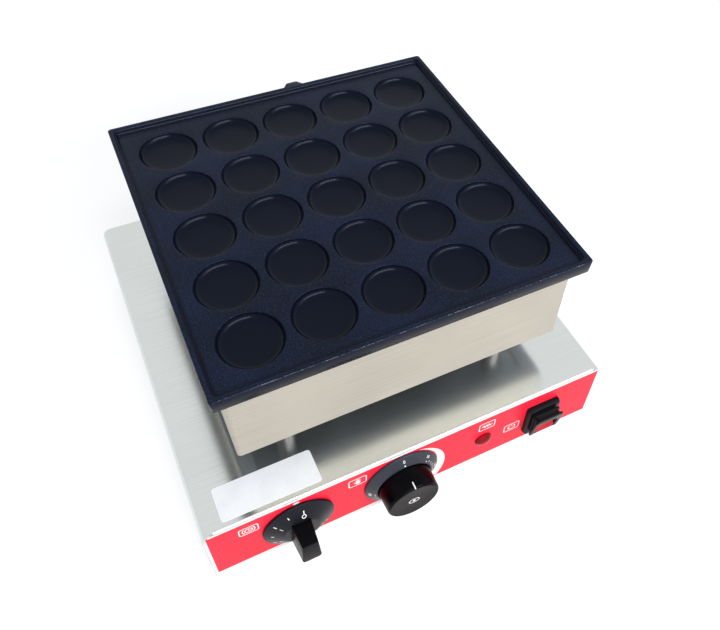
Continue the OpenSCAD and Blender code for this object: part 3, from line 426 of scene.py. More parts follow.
# The mould's fine grain, under a skin that is a little uneven in shine
@dataclass(frozen=True)
class Moulded(Mottled):
    """Moulded or coated stuff of one colour.

    Attributes:
        grain_mm: Size of the surface's grain, on plastics coarser than the real one.
        ior: Index of refraction.
        relief: Share of the grain's bump that is used.
        shine: Level of the mirrored light, where 0.5 is plain.
        patch_mm: Size of a patch.
    """

    grain_mm: float = 0.3
    ior: float = 1.53
    relief: float = 0.25
    shine: float = 0.5
    patch_mm: float = 14.0

    def sockets(self, add: Adder, place: NodeSocket) -> Inputs:
        """Return what goes to the shader's sockets."""
        cloud = add("ShaderNodeTexNoise", {"Vector": place, "Scale": per_mm(self.patch_mm), "Detail": 2.0})
        grain = add("ShaderNodeTexNoise", {"Vector": place, "Scale": per_mm(self.grain_mm), "Detail": 2.0})
        bump = {"Height": grain, "Distance": 0.02 * MM, "Strength": self.relief}
        return self.mottled(add, cloud, 0.05, 0.05) | {
            "IOR": self.ior,
            "Specular IOR Level": self.shine,
            "Normal": add("ShaderNodeBump", bump),
        }


# Dark in depth, bright where a light glances off it
@dataclass(frozen=True)
class TintedClear(Mottled):
    """Clear plastic dyed in the mass.

    Attributes:
        through: Share of the light that goes through.
        patch_mm: Size of a patch.
    """

    colour: str = "#980c1b"
    shade: str = "#6c0711"
    roughness: float = 0.12
    through: float = 0.08
    patch_mm: float = 6.0

    def sockets(self, add: Adder, place: NodeSocket) -> Inputs:
        """Return what goes to the shader's sockets."""
        cloud = add("ShaderNodeTexNoise", {"Vector": place, "Scale": per_mm(self.patch_mm), "Detail": 2.0})
        return self.mottled(add, cloud, 0.04, 0.04) | {
            "IOR": 1.5,
            "Specular IOR Level": 0.07,
            "Transmission Weight": self.through,
        }


# Fine mottling under a soft shine
@dataclass(frozen=True)
class BareMetal(Mottled):
    """Plated, cast or drawn metal.

    Attributes:
        patch_mm: Size of a patch.
    """

    colour: str = "#b4b6b8"
    shade: str = "#96989b"
    roughness: float = 0.34
    patch_mm: float = 5.0

    def sockets(self, add: Adder, place: NodeSocket) -> Inputs:
        """Return what goes to the shader's sockets."""
        mottle = add("ShaderNodeTexNoise", {"Vector": place, "Scale": per_mm(self.patch_mm), "Detail": 4.0})
        return self.mottled(add, mottle, 0.1, 0.06) | {
            "Metallic": 1.0,
            "Normal": add("ShaderNodeBump", {"Height": mottle, "Distance": 0.01 * MM, "Strength": 0.2}),
        }


# A clean pale sheet, whose hairlines draw the box's reflection out
STEEL_TOP = BrushedSheet("brushed stainless cover")
# Warm grey walls, dulled by heat so that they mirror little
STEEL_WALL = BrushedSheet(
    "brushed stainless walls", Grain.LEVEL, "#c2bdb2", "#b5b0a6", smooth=0.62, rough=0.72, smear=0.1
)
# Tubes painted darker than the steel as the shade under the box, with a broad soft glint
SHADED_STEEL_POST = BrushedSheet(
    "brushed stainless tube", Grain.LEVEL, "#83817f", "#6e6c6a", smooth=0.36, rough=0.46
)
# Even black with a low sheen
BLACK_ABS = Moulded("black moulded ABS", shine=0.12)
# Deep black, with hardly a glint
BLACK_KNOB = Moulded("polished black phenolic", "#07060b", "#050508", 0.28, 0.35, 1.6, 0.2, 0.04)
# Black that goes grey where the dial slopes up to the light
SATIN_DIAL = Moulded("satin black phenolic", "#12141c", "#0f1118", 0.36, 0.35, 1.6, 0.3, 0.12)
# The grey bloom of a ring that is seldom touched
SATIN_RING = Moulded("satin grey-black phenolic", "#30333e", "#2a2d37", 0.4, 0.35, 1.6, 0.3, 0.2)
# A disc a shade lighter than the grip round it
TURNED_FACE = Moulded("dark turned inlay", "#0f0d11", "#0b0a0d", 0.36, 0.35, 1.6, 0.3, 0.045)
# Dull black without a glint
BLACK_RUBBER = Moulded("black rubber", "#1d1d1d", "#141414", 0.72, 0.8, 1.5, 0.5)
# Warm off-white with a soft shine
PALE_PLASTIC = Moulded("pale moulded polyamide", "#e8e3d6", "#ded8c8", 0.45, 0.4)
# Creamy white with a wet glint
CERAMIC = Moulded("glazed ceramic", "#efe9dd", "#e2dac9", 0.2, 0.6, 1.6, 0.2)
# Flat white that stands off the red and the black
WHITE_INK = Moulded("white screen ink", "#f6f4f1", "#efedea", 0.45, 0.25, 1.5, 0.2)
# Cool white with a smooth sheen
WHITE_LABEL = Moulded("white vinyl label", "#f3f5f8", "#eceff3", 0.3, 0.5, 1.5, 0.25)
# Pale matted fibres without shine
WOOL = Moulded("mineral wool mat", "#e6e0d0", "#d2cab6", 0.95, 1.2, 1.4, 1.0)
# A dull cream weave
GLASS_SLEEVE = Moulded("woven glass sleeve", "#d8d1bf", "#c6bea9", 0.8, 0.5, 1.5, 0.8)
# Dark grey with a dull gleam
WIRE_SKIN = Moulded("wire insulation", "#34383f", "#2a2d33", 0.5, 0.5)
# Dull deep red, darker than the film round it
RED_LENS = TintedClear("dark red lamp lens")
# Bright red with a little depth
RED_ROCKER = TintedClear("red rocker plastic", "#dc2f38", "#c0222c", through=0.1)
# Cool grey shine of fixings
ZINC = BareMetal("bright zinc on steel")
# Blue-grey bloom of heated sheet
DULL_SHEET = BareMetal("heat-dulled steel sheet", "#a9abb1", "#989aa0", 0.4, 18.0)
# Brown-grey stains of a tube that glows
SHEATH = BareMetal("heat-stained steel tube", "#7d7874", "#57524e", 0.42, 9.0)
# Salmon shine
COPPER = BareMetal("drawn copper", "#c88a62", "#a76c4a", 0.3, 4.0)
# Soft yellow shine
BRASS = BareMetal("turned brass", "#c9ad6c", "#a98e52", 0.3, 4.0)


# Mesh tools, in millimetres


def made_since(kept: set, items: Sequence) -> list:
    """Return the elements of a mesh that weren't there before."""
    return [item for item in items if item not in kept]


def points_of(made: Sequence) -> list[BMVert]:
    """Return the points among the elements that an operator made."""
    return [item for item in made if isinstance(item, BMVert)]


def edges_between(verts: Sequence[BMVert]) -> list[BMEdge]:
    """Return the edges that join two of the given points."""
    chosen = set(verts)
    found = {e for v in verts for e in v.link_edges if e.other_vert(v) in chosen}
    return sorted(found, key=lambda e: (e.verts[0].index, e.verts[1].index))


def chain(bm: BMesh, spots: Sequence[Triple], closed: bool = True) -> list[BMVert]:
    """Draw edges from point to point.

    Args:
        bm: Mesh that takes them.
        spots: The points in order.
        closed: Whether the last joins the first.

    Returns:
        The mesh's new points.
    """
    verts = [bm.verts.new(spot) for spot in spots]
    following = verts[1:] + verts[:1] if closed else verts[1:]
    for pair in zip(verts, following):
        bm.edges.new(pair)
    return verts


def round_corners(bm: BMesh, verts: list[BMVert], setback: float, segments: int = 6) -> None:
    """Round the corners of a chain of edges."""
    bmesh.ops.bevel(
        bm, geom=verts, offset=setback, offset_type="ABSOLUTE", affect="VERTICES", segments=segments,
        profile=0.5, material=-1,
    )


def soften(bm: BMesh, edges: list[BMEdge], width: float, segments: int = 3) -> None:
    """Round the given edges."""
    bmesh.ops.bevel(
        bm, geom=edges, offset=width, offset_type="OFFSET", affect="EDGES", segments=segments,
        profile=0.5, clamp_overlap=True, material=-1,
    )


def sharp_edges(edges: Sequence[BMEdge], least: float = 0.9) -> list[BMEdge]:
    """Return the edges whose faces meet at more than an angle, in radians."""
    return [edge for edge in edges if edge.calc_face_angle(0.0) > least]


def lathe(outline: Sequence[Triple], steps: int = 96, closed: bool = False) -> BMesh:
    """Turn an outline about Z.

    Args:
        outline: Radius, height and corner rounding of each point.
        steps: Faces round the turn.
        closed: Whether the last point joins the first.

    Returns:
        The turned mesh.
    """
    bm = bmesh.new()
    verts = chain(bm, [(radius, 0.0, height) for radius, height, _ in outline], closed)
    for vert, (_, _, rounding) in zip(verts, outline):
        if rounding:
            round_corners(bm, [vert], rounding, 4)
    bmesh.ops.spin(
        bm, geom=[*bm.verts, *bm.edges], cent=(0, 0, 0), axis=(0, 0, 1), angle=FULL_TURN, steps=steps,
        use_merge=True,
    )
    return bm


@dataclass(frozen=True)
class Ring:
    """A level rectangle with round corners.

    Attributes:
        width: Size along X.
        height: Size along Y.
        corner: Radius of the corners.
        level: Place along Z.
    """

    width: float
    height: float
    corner: float
    level: float

    def draw(self, bm: BMesh, cuts: int = 0) -> list[BMEdge]:
        """Draw the ring.

        Args:
            bm: Mesh that takes the ring.
            cuts: Points to add on each straight side.

        Returns:
            The ring's edges.
        """
        kept = set(bm.edges)
        corners = [(-1, -1), (1, -1), (1, 1), (-1, 1)]
        spots = [(x * self.width / 2, y * self.height / 2, self.level) for x, y in corners]
        round_corners(bm, chain(bm, spots), self.corner)
        if cuts:
            longest = sorted(made_since(kept, bm.edges), key=lambda e: e.calc_length())[-4:]
            bmesh.ops.subdivide_edges(bm, edges=longest, cuts=cuts)
        return made_since(kept, bm.edges)

    def spot_on(self, other: "Ring", spot: Vector) -> Vector:
        """Return where a point of this ring lies on another one.

        Args:
            other: The other ring.
            spot: Point on this ring.

        Returns:
            The same point on the other ring.
        """
        moved = []
        for place, size, target in ((spot.x, self.width, other.width), (spot.y, self.height, other.height)):
            straight = size / 2 - self.corner
            core = max(-straight, min(straight, place))
            stretch = (target / 2 - other.corner) / straight
            moved.append(core * stretch + (place - core) * other.corner / self.corner)
        return Vector((*moved, other.level))


def grow(bm: BMesh, rings: Sequence[Ring], edges: list[BMEdge]) -> list[BMEdge]:
    """Draw a wall out from a first ring through the others.

    Args:
        bm: Mesh that holds the first ring.
        rings: The rings in order.
        edges: Edges of the first one.

    Returns:
        Edges of the last one.
    """
    for ring, following in zip(rings, rings[1:]):
        verts = points_of(bmesh.ops.extrude_edge_only(bm, edges=edges)["geom"])
        for vert in verts:
            vert.co = ring.spot_on(following, vert.co)
        edges = edges_between(verts)
    return edges


def block(bm: BMesh, size: Triple, middle: Triple) -> list[BMVert]:
    """Add a box, ready to be tapered and bevelled.

    Args:
        bm: Mesh that takes the box.
        size: Its three sizes.
        middle: Its middle.

    Returns:
        Its eight corners.
    """
    verts = bmesh.ops.create_cube(bm, size=1.0)["verts"]
    bmesh.ops.scale(bm, vec=size, verts=verts)
    bmesh.ops.translate(bm, vec=middle, verts=verts)
    return verts


def make_piece(
    name: str, bm: BMesh, place: Matrix, finish: Finish, body: str,
    replaces: Sequence[str] = (), crease_deg: float = 38.0,
) -> None:
    """Turn a mesh in millimetres into a finished piece of the object.

    Args:
        name: Name of the piece.
        bm: Its mesh, which is used up.
        place: Its place in the row frame, in millimetres.
        finish: Its finish.
        body: Body that it rides on.
        replaces: Solids that it stands for.
        crease_deg: Angle past which an edge stays sharp.
    """
    bmesh.ops.remove_doubles(bm, verts=bm.verts, dist=0.002)
    bmesh.ops.recalc_face_normals(bm, faces=bm.faces)
    bmesh.ops.transform(bm, matrix=Matrix.Scale(MM, 4) @ place, verts=bm.verts)
    mesh = bpy.data.meshes.new(name)
    bm.to_mesh(mesh)
    bm.free()
    mesh.polygons.foreach_set("use_smooth", [True] * len(mesh.polygons))
    mesh.set_sharp_from_angle(angle=math.radians(crease_deg))
    mesh.materials.append(finish.material())
    piece = bpy.data.objects.new(name, mesh)
    bpy.context.scene.collection.objects.link(piece)
    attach(piece, body)
    if replaces:
        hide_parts(*replaces)
    LOG.info("%s: %d faces on %s", name, len(mesh.polygons), body)


def dress(finish: Finish, *nodes: str) -> None:
    """Give carried-over solids their finish."""
    for name in nodes:
        mesh = frame["nodes"][name].data
        mesh.materials.clear()
        mesh.materials.append(finish.material())
        LOG.info("%s: %s", name, finish.name)


@dataclass
class InkSheet:
    """Thin printed marks, gathered into one mesh.

    Attributes:
        thickness: Height of the ink over its surface.
        bm: Mesh of the marks.
    """

    thickness: float = 0.06
    bm: BMesh = field(default_factory=bmesh.new)

    def take(self, data: Curve, place: Matrix, squash: float) -> None:
        """Make a curve a mesh and add it.

        Args:
            data: Curve or text, which is used up.
            place: Where its own plane lies.
            squash: Factor on its height.
        """
        maker = bpy.data.objects.new("ink", data)
        bpy.context.scene.collection.objects.link(maker)
        mesh = bpy.data.meshes.new_from_object(maker)
        bpy.data.objects.remove(maker)
        bpy.data.curves.remove(data)
        kept = set(self.bm.verts)
        self.bm.from_mesh(mesh)
        bpy.data.meshes.remove(mesh)
        flat = Matrix.Diagonal((1.0, 1.0, squash, 1.0))
        bmesh.ops.transform(self.bm, matrix=place @ flat, verts=made_since(kept, self.bm.verts))

    def line(self, points: Sequence[Point], width: float, place: Matrix, closed: bool = False) -> None:
        """Draw a stroke.

        Args:
            points: Its course.
            width: Its width.
            place: Where its own plane lies.
            closed: Whether it returns to its start.
        """
        data = bpy.data.curves.new("ink", "CURVE")
        data.dimensions = "3D"
        data.bevel_depth = width / 2
        data.bevel_resolution = 2
        data.use_fill_caps = True
        spline = data.splines.new("POLY")
        spline.points.add(len(points) - 1)
        for target, (x, y) in zip(spline.points, points):
            target.co = (x, y, 0.0, 1.0)
        spline.use_cyclic_u = closed
        self.take(data, place, self.thickness / (width / 2))

    def text(self, words: str, size: float, place: Matrix) -> None:
        """Print a number.

        Args:
            words: Its figures.
            size: Height of the type.
            place: Where its own plane lies.
        """
        data = bpy.data.curves.new("ink", "FONT")
        data.body = words
        data.size = size
        data.align_x = "CENTER"
        data.align_y = "CENTER"
        data.extrude = 1.0
        data.offset = 0.03
        self.take(data, place, self.thickness)

    def dot(self, radius: float, place: Matrix, stretch: float = 1.0) -> None:
        """Print a filled dot.

        Args:
            radius: Its radius.
            place: Where its own plane lies.
            stretch: Width of the dot over its height.
        """
        made = bmesh.ops.create_cone(
            self.bm, cap_ends=True, segments=24, radius1=radius, radius2=radius, depth=2 * self.thickness,
        )
        bmesh.ops.transform(
            self.bm, matrix=place @ Matrix.Diagonal((stretch, 1.0, 1.0, 1.0)), verts=made["verts"]
        )

    def bar(self, size: Point, place: Matrix, corner: float) -> None:
        """Print a filled bar with round ends.

        Args:
            size: Its width and height.
            place: Where its own plane lies.
            corner: Radius of its corners.
        """
        kept = set(self.bm.verts)
        rings = [Ring(*size, corner, level) for level in (-self.thickness, self.thickness)]
        bmesh.ops.edgeloop_fill(self.bm, edges=grow(self.bm, rings, rings[0].draw(self.bm)))
        bmesh.ops.transform(self.bm, matrix=place, verts=made_since(kept, self.bm.verts))

    def finish(self, name: str, place: Matrix, body: str) -> None:
        """Make the marks one piece.

        Args:
            name: Name of the piece.
            place: Its place in the row frame, in millimetres.
            body: Body that it rides on.
        """
        make_piece(name, self.bm, place, WHITE_INK, body, crease_deg=60.0)


def arc(
    radius: float, start_deg: float, end_deg: float, steps: int = 24, middle: Point = (0.0, 0.0),
) -> list[Point]:
    """Return points along an arc, with angles clockwise from the top."""
    found = []
    for step in range(steps + 1):
        angle = math.radians(start_deg + (end_deg - start_deg) * step / steps)
        found.append((middle[0] + radius * math.sin(angle), middle[1] + radius * math.cos(angle)))
    return found


def box_outline(width: float, height: float, corner: float) -> list[Point]:
    """Return points round a rectangle with round corners."""
    found = []
    for x, y, start in ((1, 1, 0), (1, -1, 90), (-1, -1, 180), (-1, 1, 270)):
        found += arc(corner, start, start + 90, 6, (x * (width / 2 - corner), y * (height / 2 - corner)))
    return found


def on_cone(edge: Point, top: Point, radius: float, angle_deg: float) -> Matrix:
    """Return a plane on a dial's cone: X along the dial's turn, Y outwards along the slope.

    Args:
        edge: Radius and height of the cone's edge.
        top: Radius and height of its top.
        radius: Distance from the axis.
        angle_deg: Place round the dial, clockwise from the top.

    Returns:
        The plane's frame.
    """
    slope = math.atan2(top[1] - edge[1], edge[0] - top[0])
    height = edge[1] + (edge[0] - radius) * math.tan(slope)
    turn = Matrix.Rotation(-math.radians(angle_deg), 4, "Z")
    return turn @ Matrix.Translation((0.0, radius, height)) @ Matrix.Rotation(-slope, 4, "X")


# Places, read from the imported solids


@dataclass(frozen=True)
class Places:
    """Where the solids put the main pieces, in millimetres.

    Attributes:
        front: Y of the base's front wall.
        panel: Z of the middle of the front.
        timer: X of the timer.
        thermostat: X of the thermostat.
        switch: X of the switch.
        head: Middle of the heater box, X and Y.
        rim: Z of the plate's rim.
        plate: Width and depth of the plate.
        film: Left, lower, right and upper limits of the film.
    """

    front: float
    panel: float
    timer: float
    thermostat: float
    switch: float
    head: Point
    rim: float
    plate: Point
    film: tuple[float, float, float, float]

    @classmethod
    def read(cls) -> "Places":
        """Read the places from the boxes of the solids."""
        boxes = {name: [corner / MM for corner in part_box(name)] for name in frame["nodes"]}

        def middle(name: str) -> Vector:
            """Return the middle of a solid."""
            return (boxes[name][0] + boxes[name][1]) / 2

        plate = boxes["baking_plate"]
        head = middle("heater_box")
        film = boxes["panel_film"]
        return cls(
            front=boxes["base_cover"][0].y,
            panel=middle("base_cover").z,
            timer=middle("timer_shaft").x,
            thermostat=middle("thermostat_shaft").x,
            switch=middle("switch_rocker").x,
            head=(head.x, head.y),
            rim=plate[1].z,
            plate=(plate[1].x - plate[0].x, 2 * (head.y - plate[0].y)),
            film=(film[0].x, film[0].z, film[1].x, film[1].z),
        )

    def on_front(self, x: float) -> Matrix:
        """Return the front frame at x: X to the right, Y up, Z out of the front."""
        return Matrix.Translation((x, self.front, self.panel)) @ Matrix.Rotation(math.pi / 2, 4, "X")


# Sub-assemblies


@dataclass
class BakingPlate:
    """Cast plate with a stepped rim and rows of round recesses.

    Attributes:
        at: Places of the solids.
        pitch: Distance between recesses.
        count: Recesses in a row.
        recess: Radius and height of each ring from a recess's lip to its middle.
        rim: Each loop of the rim, inside to outside: inset from the plate's edge, height over its floor and
            corner radius in plan.
        rim_height: Height of the rim over the floor.
        lug: Size of the lug behind.
        lug_x: Place of the lug from the plate's middle.
        lug_reach: How far it stands out behind the plate.
        lug_top: Height of its top over the floor.
        lug_tip: Factors on its width and height at its end.
    """

    at: Places
    pitch: float = 45.6
    count: int = 5
    recess: tuple[Point, ...] = (
        (21.0, 0.0), (20.6, -0.06), (20.4, -0.2), (20.26, -0.45), (20.16, -0.8), (20.04, -1.15),
        (19.88, -1.5), (19.7, -1.8), (19.44, -2.22), (19.15, -2.63), (18.84, -3.01), (18.49, -3.37),
        (18.19, -3.63), (17.78, -3.92), (17.34, -4.16), (16.79, -4.4), (16.12, -4.6), (15.24, -4.78),
        (13.45, -5.0), (10.96, -5.17), (7.46, -5.33), (4.5, -5.41), (2.2, -5.44),
    )
    rim: tuple[Triple, ...] = (
        (5.6, 0.0, 1.9), (5.36, 0.06, 2.0), (5.18, 0.3, 2.1), (5.12, 0.7, 2.2), (5.08, 0.96, 2.3),
        (5.03, 1.08, 2.3), (4.97, 1.18, 2.4), (4.34, 2.1, 2.6), (4.25, 2.17, 2.7), (4.02, 2.2, 2.9),
        (3.86, 2.24, 3.1), (3.68, 2.34, 3.3), (3.58, 2.6, 3.4), (3.54, 2.88, 3.5), (3.49, 3.0, 3.5),
        (3.43, 3.1, 3.5), (2.8, 4.02, 3.3), (2.71, 4.07, 3.2), (2.44, 4.1, 3.1), (0.85, 4.1, 2.4),
        (0.42, 4.02, 2.2), (0.12, 3.72, 2.0), (0.0, 3.3, 2.0), (0.5, -6.1, 2.0), (0.7, -6.6, 2.0),
        (1.2, -6.8, 2.0), (22.4, -6.8, 3.5), (23.2, -7.0, 3.5), (23.5, -7.6, 3.5), (23.8, -11.8, 3.5),
    )
    rim_height: float = 4.1
    lug: Triple = (18.0, 6.4, 7.2)
    lug_x: float = 16.0
    lug_reach: float = 4.9
    lug_top: float = 4.0
    lug_tip: Point = (0.46, 0.95)

    def build(self) -> None:
        """Build the plate and its lug as one casting."""
        bm = bmesh.new()
        cell = self._cell()
        half = (self.count - 1) / 2
        for row in range(self.count):
            for column in range(self.count):
                kept = set(bm.verts)
                bm.from_mesh(cell)
                shift = ((column - half) * self.pitch, (row - half) * self.pitch, 0.0)
                bmesh.ops.translate(bm, vec=shift, verts=made_since(kept, bm.verts))
        bpy.data.meshes.remove(cell)
        bmesh.ops.remove_doubles(bm, verts=bm.verts, dist=0.01)
        border = [e for e in bm.edges if e.is_boundary]
        width, depth = self.at.plate
        rings = [
            Ring(width - 2 * inset, depth - 2 * inset, corner, level)
            for inset, level, corner in self.rim
        ]
        first = rings[0].draw(bm, 40)
        bmesh.ops.triangle_fill(bm, edges=border + first, use_beauty=True, normal=(0.0, 0.0, 1.0))
        bmesh.ops.edgeloop_fill(bm, edges=grow(bm, rings, first))
        self._add_lug(bm, depth)
        place = Matrix.Translation((*self.at.head, self.at.rim - self.rim_height))
        middle = (*self.at.head, self.at.rim)
        coat = NonStickCoat("non-stick coat on cast plate", width / 2, depth / 2, middle, self.rim_height)
        make_piece("cast_plate", bm, place, coat, "grill", ["baking_plate"], 50.0)

    def _cell(self) -> Mesh:
        """Build one square of the floor with its recess."""
        bm = bmesh.new()
        sides = 12
        square = bmesh.ops.create_grid(bm, x_segments=1, y_segments=1, size=self.pitch / 2)["verts"]
        bmesh.ops.delete(bm, geom=list(bm.faces), context="FACES_ONLY")
        bmesh.ops.subdivide_edges(bm, edges=edges_between(square), cuts=sides - 1)
        outer = list(bm.edges)
        lip, *inner = self.recess
        circle = bmesh.ops.create_circle(bm, cap_ends=False, radius=lip[0], segments=4 * sides)["verts"]
        ring = edges_between(circle)
        bmesh.ops.triangle_fill(bm, edges=outer + ring, use_beauty=True, normal=(0.0, 0.0, 1.0))
        for radius, level in inner:
            verts = points_of(bmesh.ops.extrude_edge_only(bm, edges=ring)["geom"])
            ring = edges_between(verts)
            for vert in verts:
                vert.co = (*(vert.co.xy.normalized() * radius), level)
        bmesh.ops.edgeloop_fill(bm, edges=ring)
        mesh = bpy.data.meshes.new("cell")
        bm.to_mesh(mesh)
        bm.free()
        return mesh

    def _add_lug(self, bm: BMesh, depth: float) -> None:
        """Add the lug on the back edge, narrower at its end.

        Args:
            bm: The plate's mesh.
            depth: Depth of the plate.
        """
        back = depth / 2 + self.lug_reach
        middle = (self.lug_x, back - self.lug[1] / 2, self.lug_top - self.lug[2] / 2)
        verts = block(bm, self.lug, middle)
        tip = [v for v in verts if v.co.y > middle[1]]
        about = Matrix.Translation((-middle[0], 0.0, -middle[2]))
        bmesh.ops.scale(bm, vec=(self.lug_tip[0], 1.0, self.lug_tip[1]), verts=tip, space=about)
        soften(bm, edges_between(verts), 0.8)


@dataclass
class TimerKnob:
    """Conical dial with a bar grip, and the minutes printed on its cone.

    Attributes:
        at: Places of the solids.
        radius: Radius of the dial.
        back: Gap between the front wall and the dial's back.
        edge: Height of the dial's edge.
        top: Height of the dial's flat middle.
        hub: Radius of that middle.
        reach: How far the grip stands out.
        root: Width and height of the grip at the dial.
        tip: Width and height of the grip at its front.
        flare: Factors on the grip's width at its lower and its upper side.
        rounds: Rounds on the grip's lower flanks and on its other edges.
        wall: Thickness of the dial.
        zero_deg: Place of the zero, clockwise from the top.
        minute_deg: Turn for one minute.
        minutes: Last minute of the scale.
    """

    at: Places
    radius: float = 24.9
    back: float = 0.9
    edge: float = 2.4
    top: float = 8.4
    hub: float = 12.6
    reach: float = 24.6
    root: Point = (15.0, 25.4)
    tip: Point = (12.4, 24.6)
    flare: Point = (1.1, 0.88)
    rounds: Point = (2.6, 0.7)
    wall: float = 2.0
    zero_deg: float = 10.0
    minute_deg: float = 63.0
    minutes: int = 4

    def build(self) -> None:
        """Build the knob and its print."""
        inner = self.radius - self.wall
        dial = lathe([
            (0.0, self.top, 0.0), (self.hub, self.top, 0.6), (self.radius, self.edge, 0.5),
            (self.radius, self.back, 0.4), (inner, self.back, 0.0), (inner - 0.3, self.back + 0.5, 0.0),
            (self.hub - self.wall, self.top - self.wall, 0.0), (0.0, self.top - self.wall, 0.0),
        ])
        place = self.at.on_front(self.at.timer)
        make_piece("timer_knob_dial", dial, place, SATIN_DIAL, "timer_dial", ["timer_knob"])
        make_piece("timer_knob_grip", self._grip(), place, BLACK_KNOB, "timer_dial")
        self._print(place)

    def _grip(self) -> BMesh:
        """Build the bar, tapered to its front, with rounder corners below."""
        bm = bmesh.new()
        start = self.top - 1.0
        length = self.reach - start
        verts = block(bm, (*self.root, length), (0.0, 0.0, start + length / 2))
        front = [v for v in verts if v.co.z > start + length / 2]
        lower = [v for v in verts if v.co.y < 0]
        upper = [v for v in verts if v.co.y > 0]
        taper = (self.tip[0] / self.root[0], self.tip[1] / self.root[1], 1.0)
        bmesh.ops.scale(bm, vec=taper, verts=front)
        for side, factor in zip((lower, upper), self.flare):
            bmesh.ops.scale(bm, vec=(factor, 1.0, 1.0), verts=side)
        flanks = [e for e in edges_between(lower) if sum(v in front for v in e.verts) == 1]
        soften(bm, flanks, self.rounds[0], 5)
        soften(bm, sharp_edges(bm.edges), self.rounds[1])
        return bm

    def _print(self, place: Matrix) -> None:
        """Print the zero, the half-minute ticks and the minutes.

        Args:
            place: Front frame of the timer.
        """
        ink = InkSheet()
        at = partial(on_cone, (self.radius, self.edge), (self.hub, self.top))
        zero = at(16.2, self.zero_deg)
        ink.line(arc(1.35, 0, 345, 20), 0.62, zero, closed=True)
        ink.line([(0.0, 1.9), (0.0, 4.6)], 0.7, zero)
        for half in range(1, 2 * self.minutes + 1):
            angle = self.zero_deg - half * self.minute_deg / 2
            if half % 2:
                ink.line([(0.0, -1.0), (0.0, 1.0)], 0.75, at(19.6, angle))
            else:
                ink.line([(0.0, -1.1), (0.0, 1.4)], 0.8, at(20.6, angle))
                ink.text(str(half // 2), 3.6, at(16.4, angle))
        ink.finish("timer_print", place, "timer_dial")


@dataclass
class ThermostatKnob:
    """Round grip in a fixed conical scale ring.

    Attributes:
        at: Places of the solids.
        ring: Outline of the ring: radius, height and rounding.
        grip: Outline of the grip, from the middle of its face to the middle of its inside.
        face: Outline of the dished disc in its face.
        first_deg: Place of the lowest number, clockwise from the top.
        step_deg: Turn from a number to the next.
        numbers: Numbers on the ring.
    """

    at: Places
    ring: tuple[Triple, ...] = (
        (5.4, 0.45, 0.0), (28.0, 0.45, 0.2), (28.0, 2.0, 0.5), (21.2, 6.2, 0.4), (20.6, 6.2, 0.15),
        (20.6, 1.6, 0.0), (5.4, 1.6, 0.0),
    )
    grip: tuple[Triple, ...] = (
        (0.0, 21.3, 0.0), (17.0, 21.3, 0.0), (17.1, 21.95, 0.1), (18.1, 22.1, 0.5), (19.4, 20.9, 0.8),
        (20.0, 2.25, 0.2), (17.8, 2.25, 0.0), (17.2, 19.9, 0.0), (0.0, 19.9, 0.0),
    )
    face: tuple[Triple, ...] = (
        (0.0, 21.5, 0.0), (7.0, 21.55, 0.0), (12.0, 21.68, 0.0), (16.0, 21.9, 0.3), (17.0, 21.88, 0.0),
        (17.0, 21.3, 0.0),
    )
    first_deg: float = 48.0
    step_deg: float = 43.2
    numbers: tuple[int, ...] = (50, 100, 150, 200, 250, 300)

    def build(self) -> None:
        """Build the ring, the grip and their print."""
        place = self.at.on_front(self.at.thermostat)
        for name, outline, finish, body, replaced in (
            ("thermostat_scale", self.ring, SATIN_RING, "grill", ["thermostat_ring"]),
            ("thermostat_grip", self.grip, BLACK_KNOB, "thermostat_dial", ["thermostat_knob"]),
            ("thermostat_face", self.face, TURNED_FACE, "thermostat_dial", []),
        ):
            turned = lathe(outline, 112, closed=outline is self.ring)
            make_piece(name, turned, place, finish, body, replaced)
        self._print_scale(place)
        self._print_pointer(place)

    def _print_scale(self, place: Matrix) -> None:
        """Print the off mark, the degrees and the ticks between them.

        Args:
            place: Front frame of the thermostat.
        """
        ink = InkSheet()
        at = partial(on_cone, self.ring[2][:2], self.ring[3][:2])
        ink.text("0", 3.4, at(24.8, 0.0))
        ink.dot(0.55, at(22.1, 0.0))
        for index, number in enumerate(self.numbers):
            angle = self.first_deg + index * self.step_deg
            ink.text(str(number), 2.9, at(25.2, angle))
            ink.dot(0.5, at(22.3, angle))
            if number < self.numbers[-1]:
                for part in range(1, 5):
                    tick = angle + part * self.step_deg / 5
                    ink.line([(0.0, -0.75), (0.0, 0.75)], 0.5, at(22.7, tick))
        ink.finish("thermostat_print", place, "grill")

    def _print_pointer(self, place: Matrix) -> None:
        """Print the pointer over the grip's front edge, and a plain oval on its face.

        Args:
            place: Front frame of the thermostat.
        """
        ink = InkSheet()
        stroke = 0.85
        (upper, high, _), (lower, low, _) = self.grip[4:6]
        lean = math.atan2(lower - upper, high - low)
        side = Matrix.Translation((0.0, 19.47, 18.6)) @ Matrix.Rotation(-math.pi / 2 + lean, 4, "X")
        ink.line([(0.0, -2.4), (0.0, 1.7)], stroke, side)
        bend = Matrix.Translation((0.0, 18.85, 21.45)) @ Matrix.Rotation(-math.pi / 4, 4, "X")
        ink.line([(0.0, -0.75), (0.0, 0.75)], stroke, bend)
        face = Matrix.Translation((0.0, 0.0, 21.52))
        oval = [(1.45 * x, y) for x, y in arc(2.6, 0, 345, 23)]
        ink.line(oval, 0.8, face, closed=True)
        ink.dot(1.2, face)
        ink.finish("thermostat_pointer", place, "thermostat_dial")


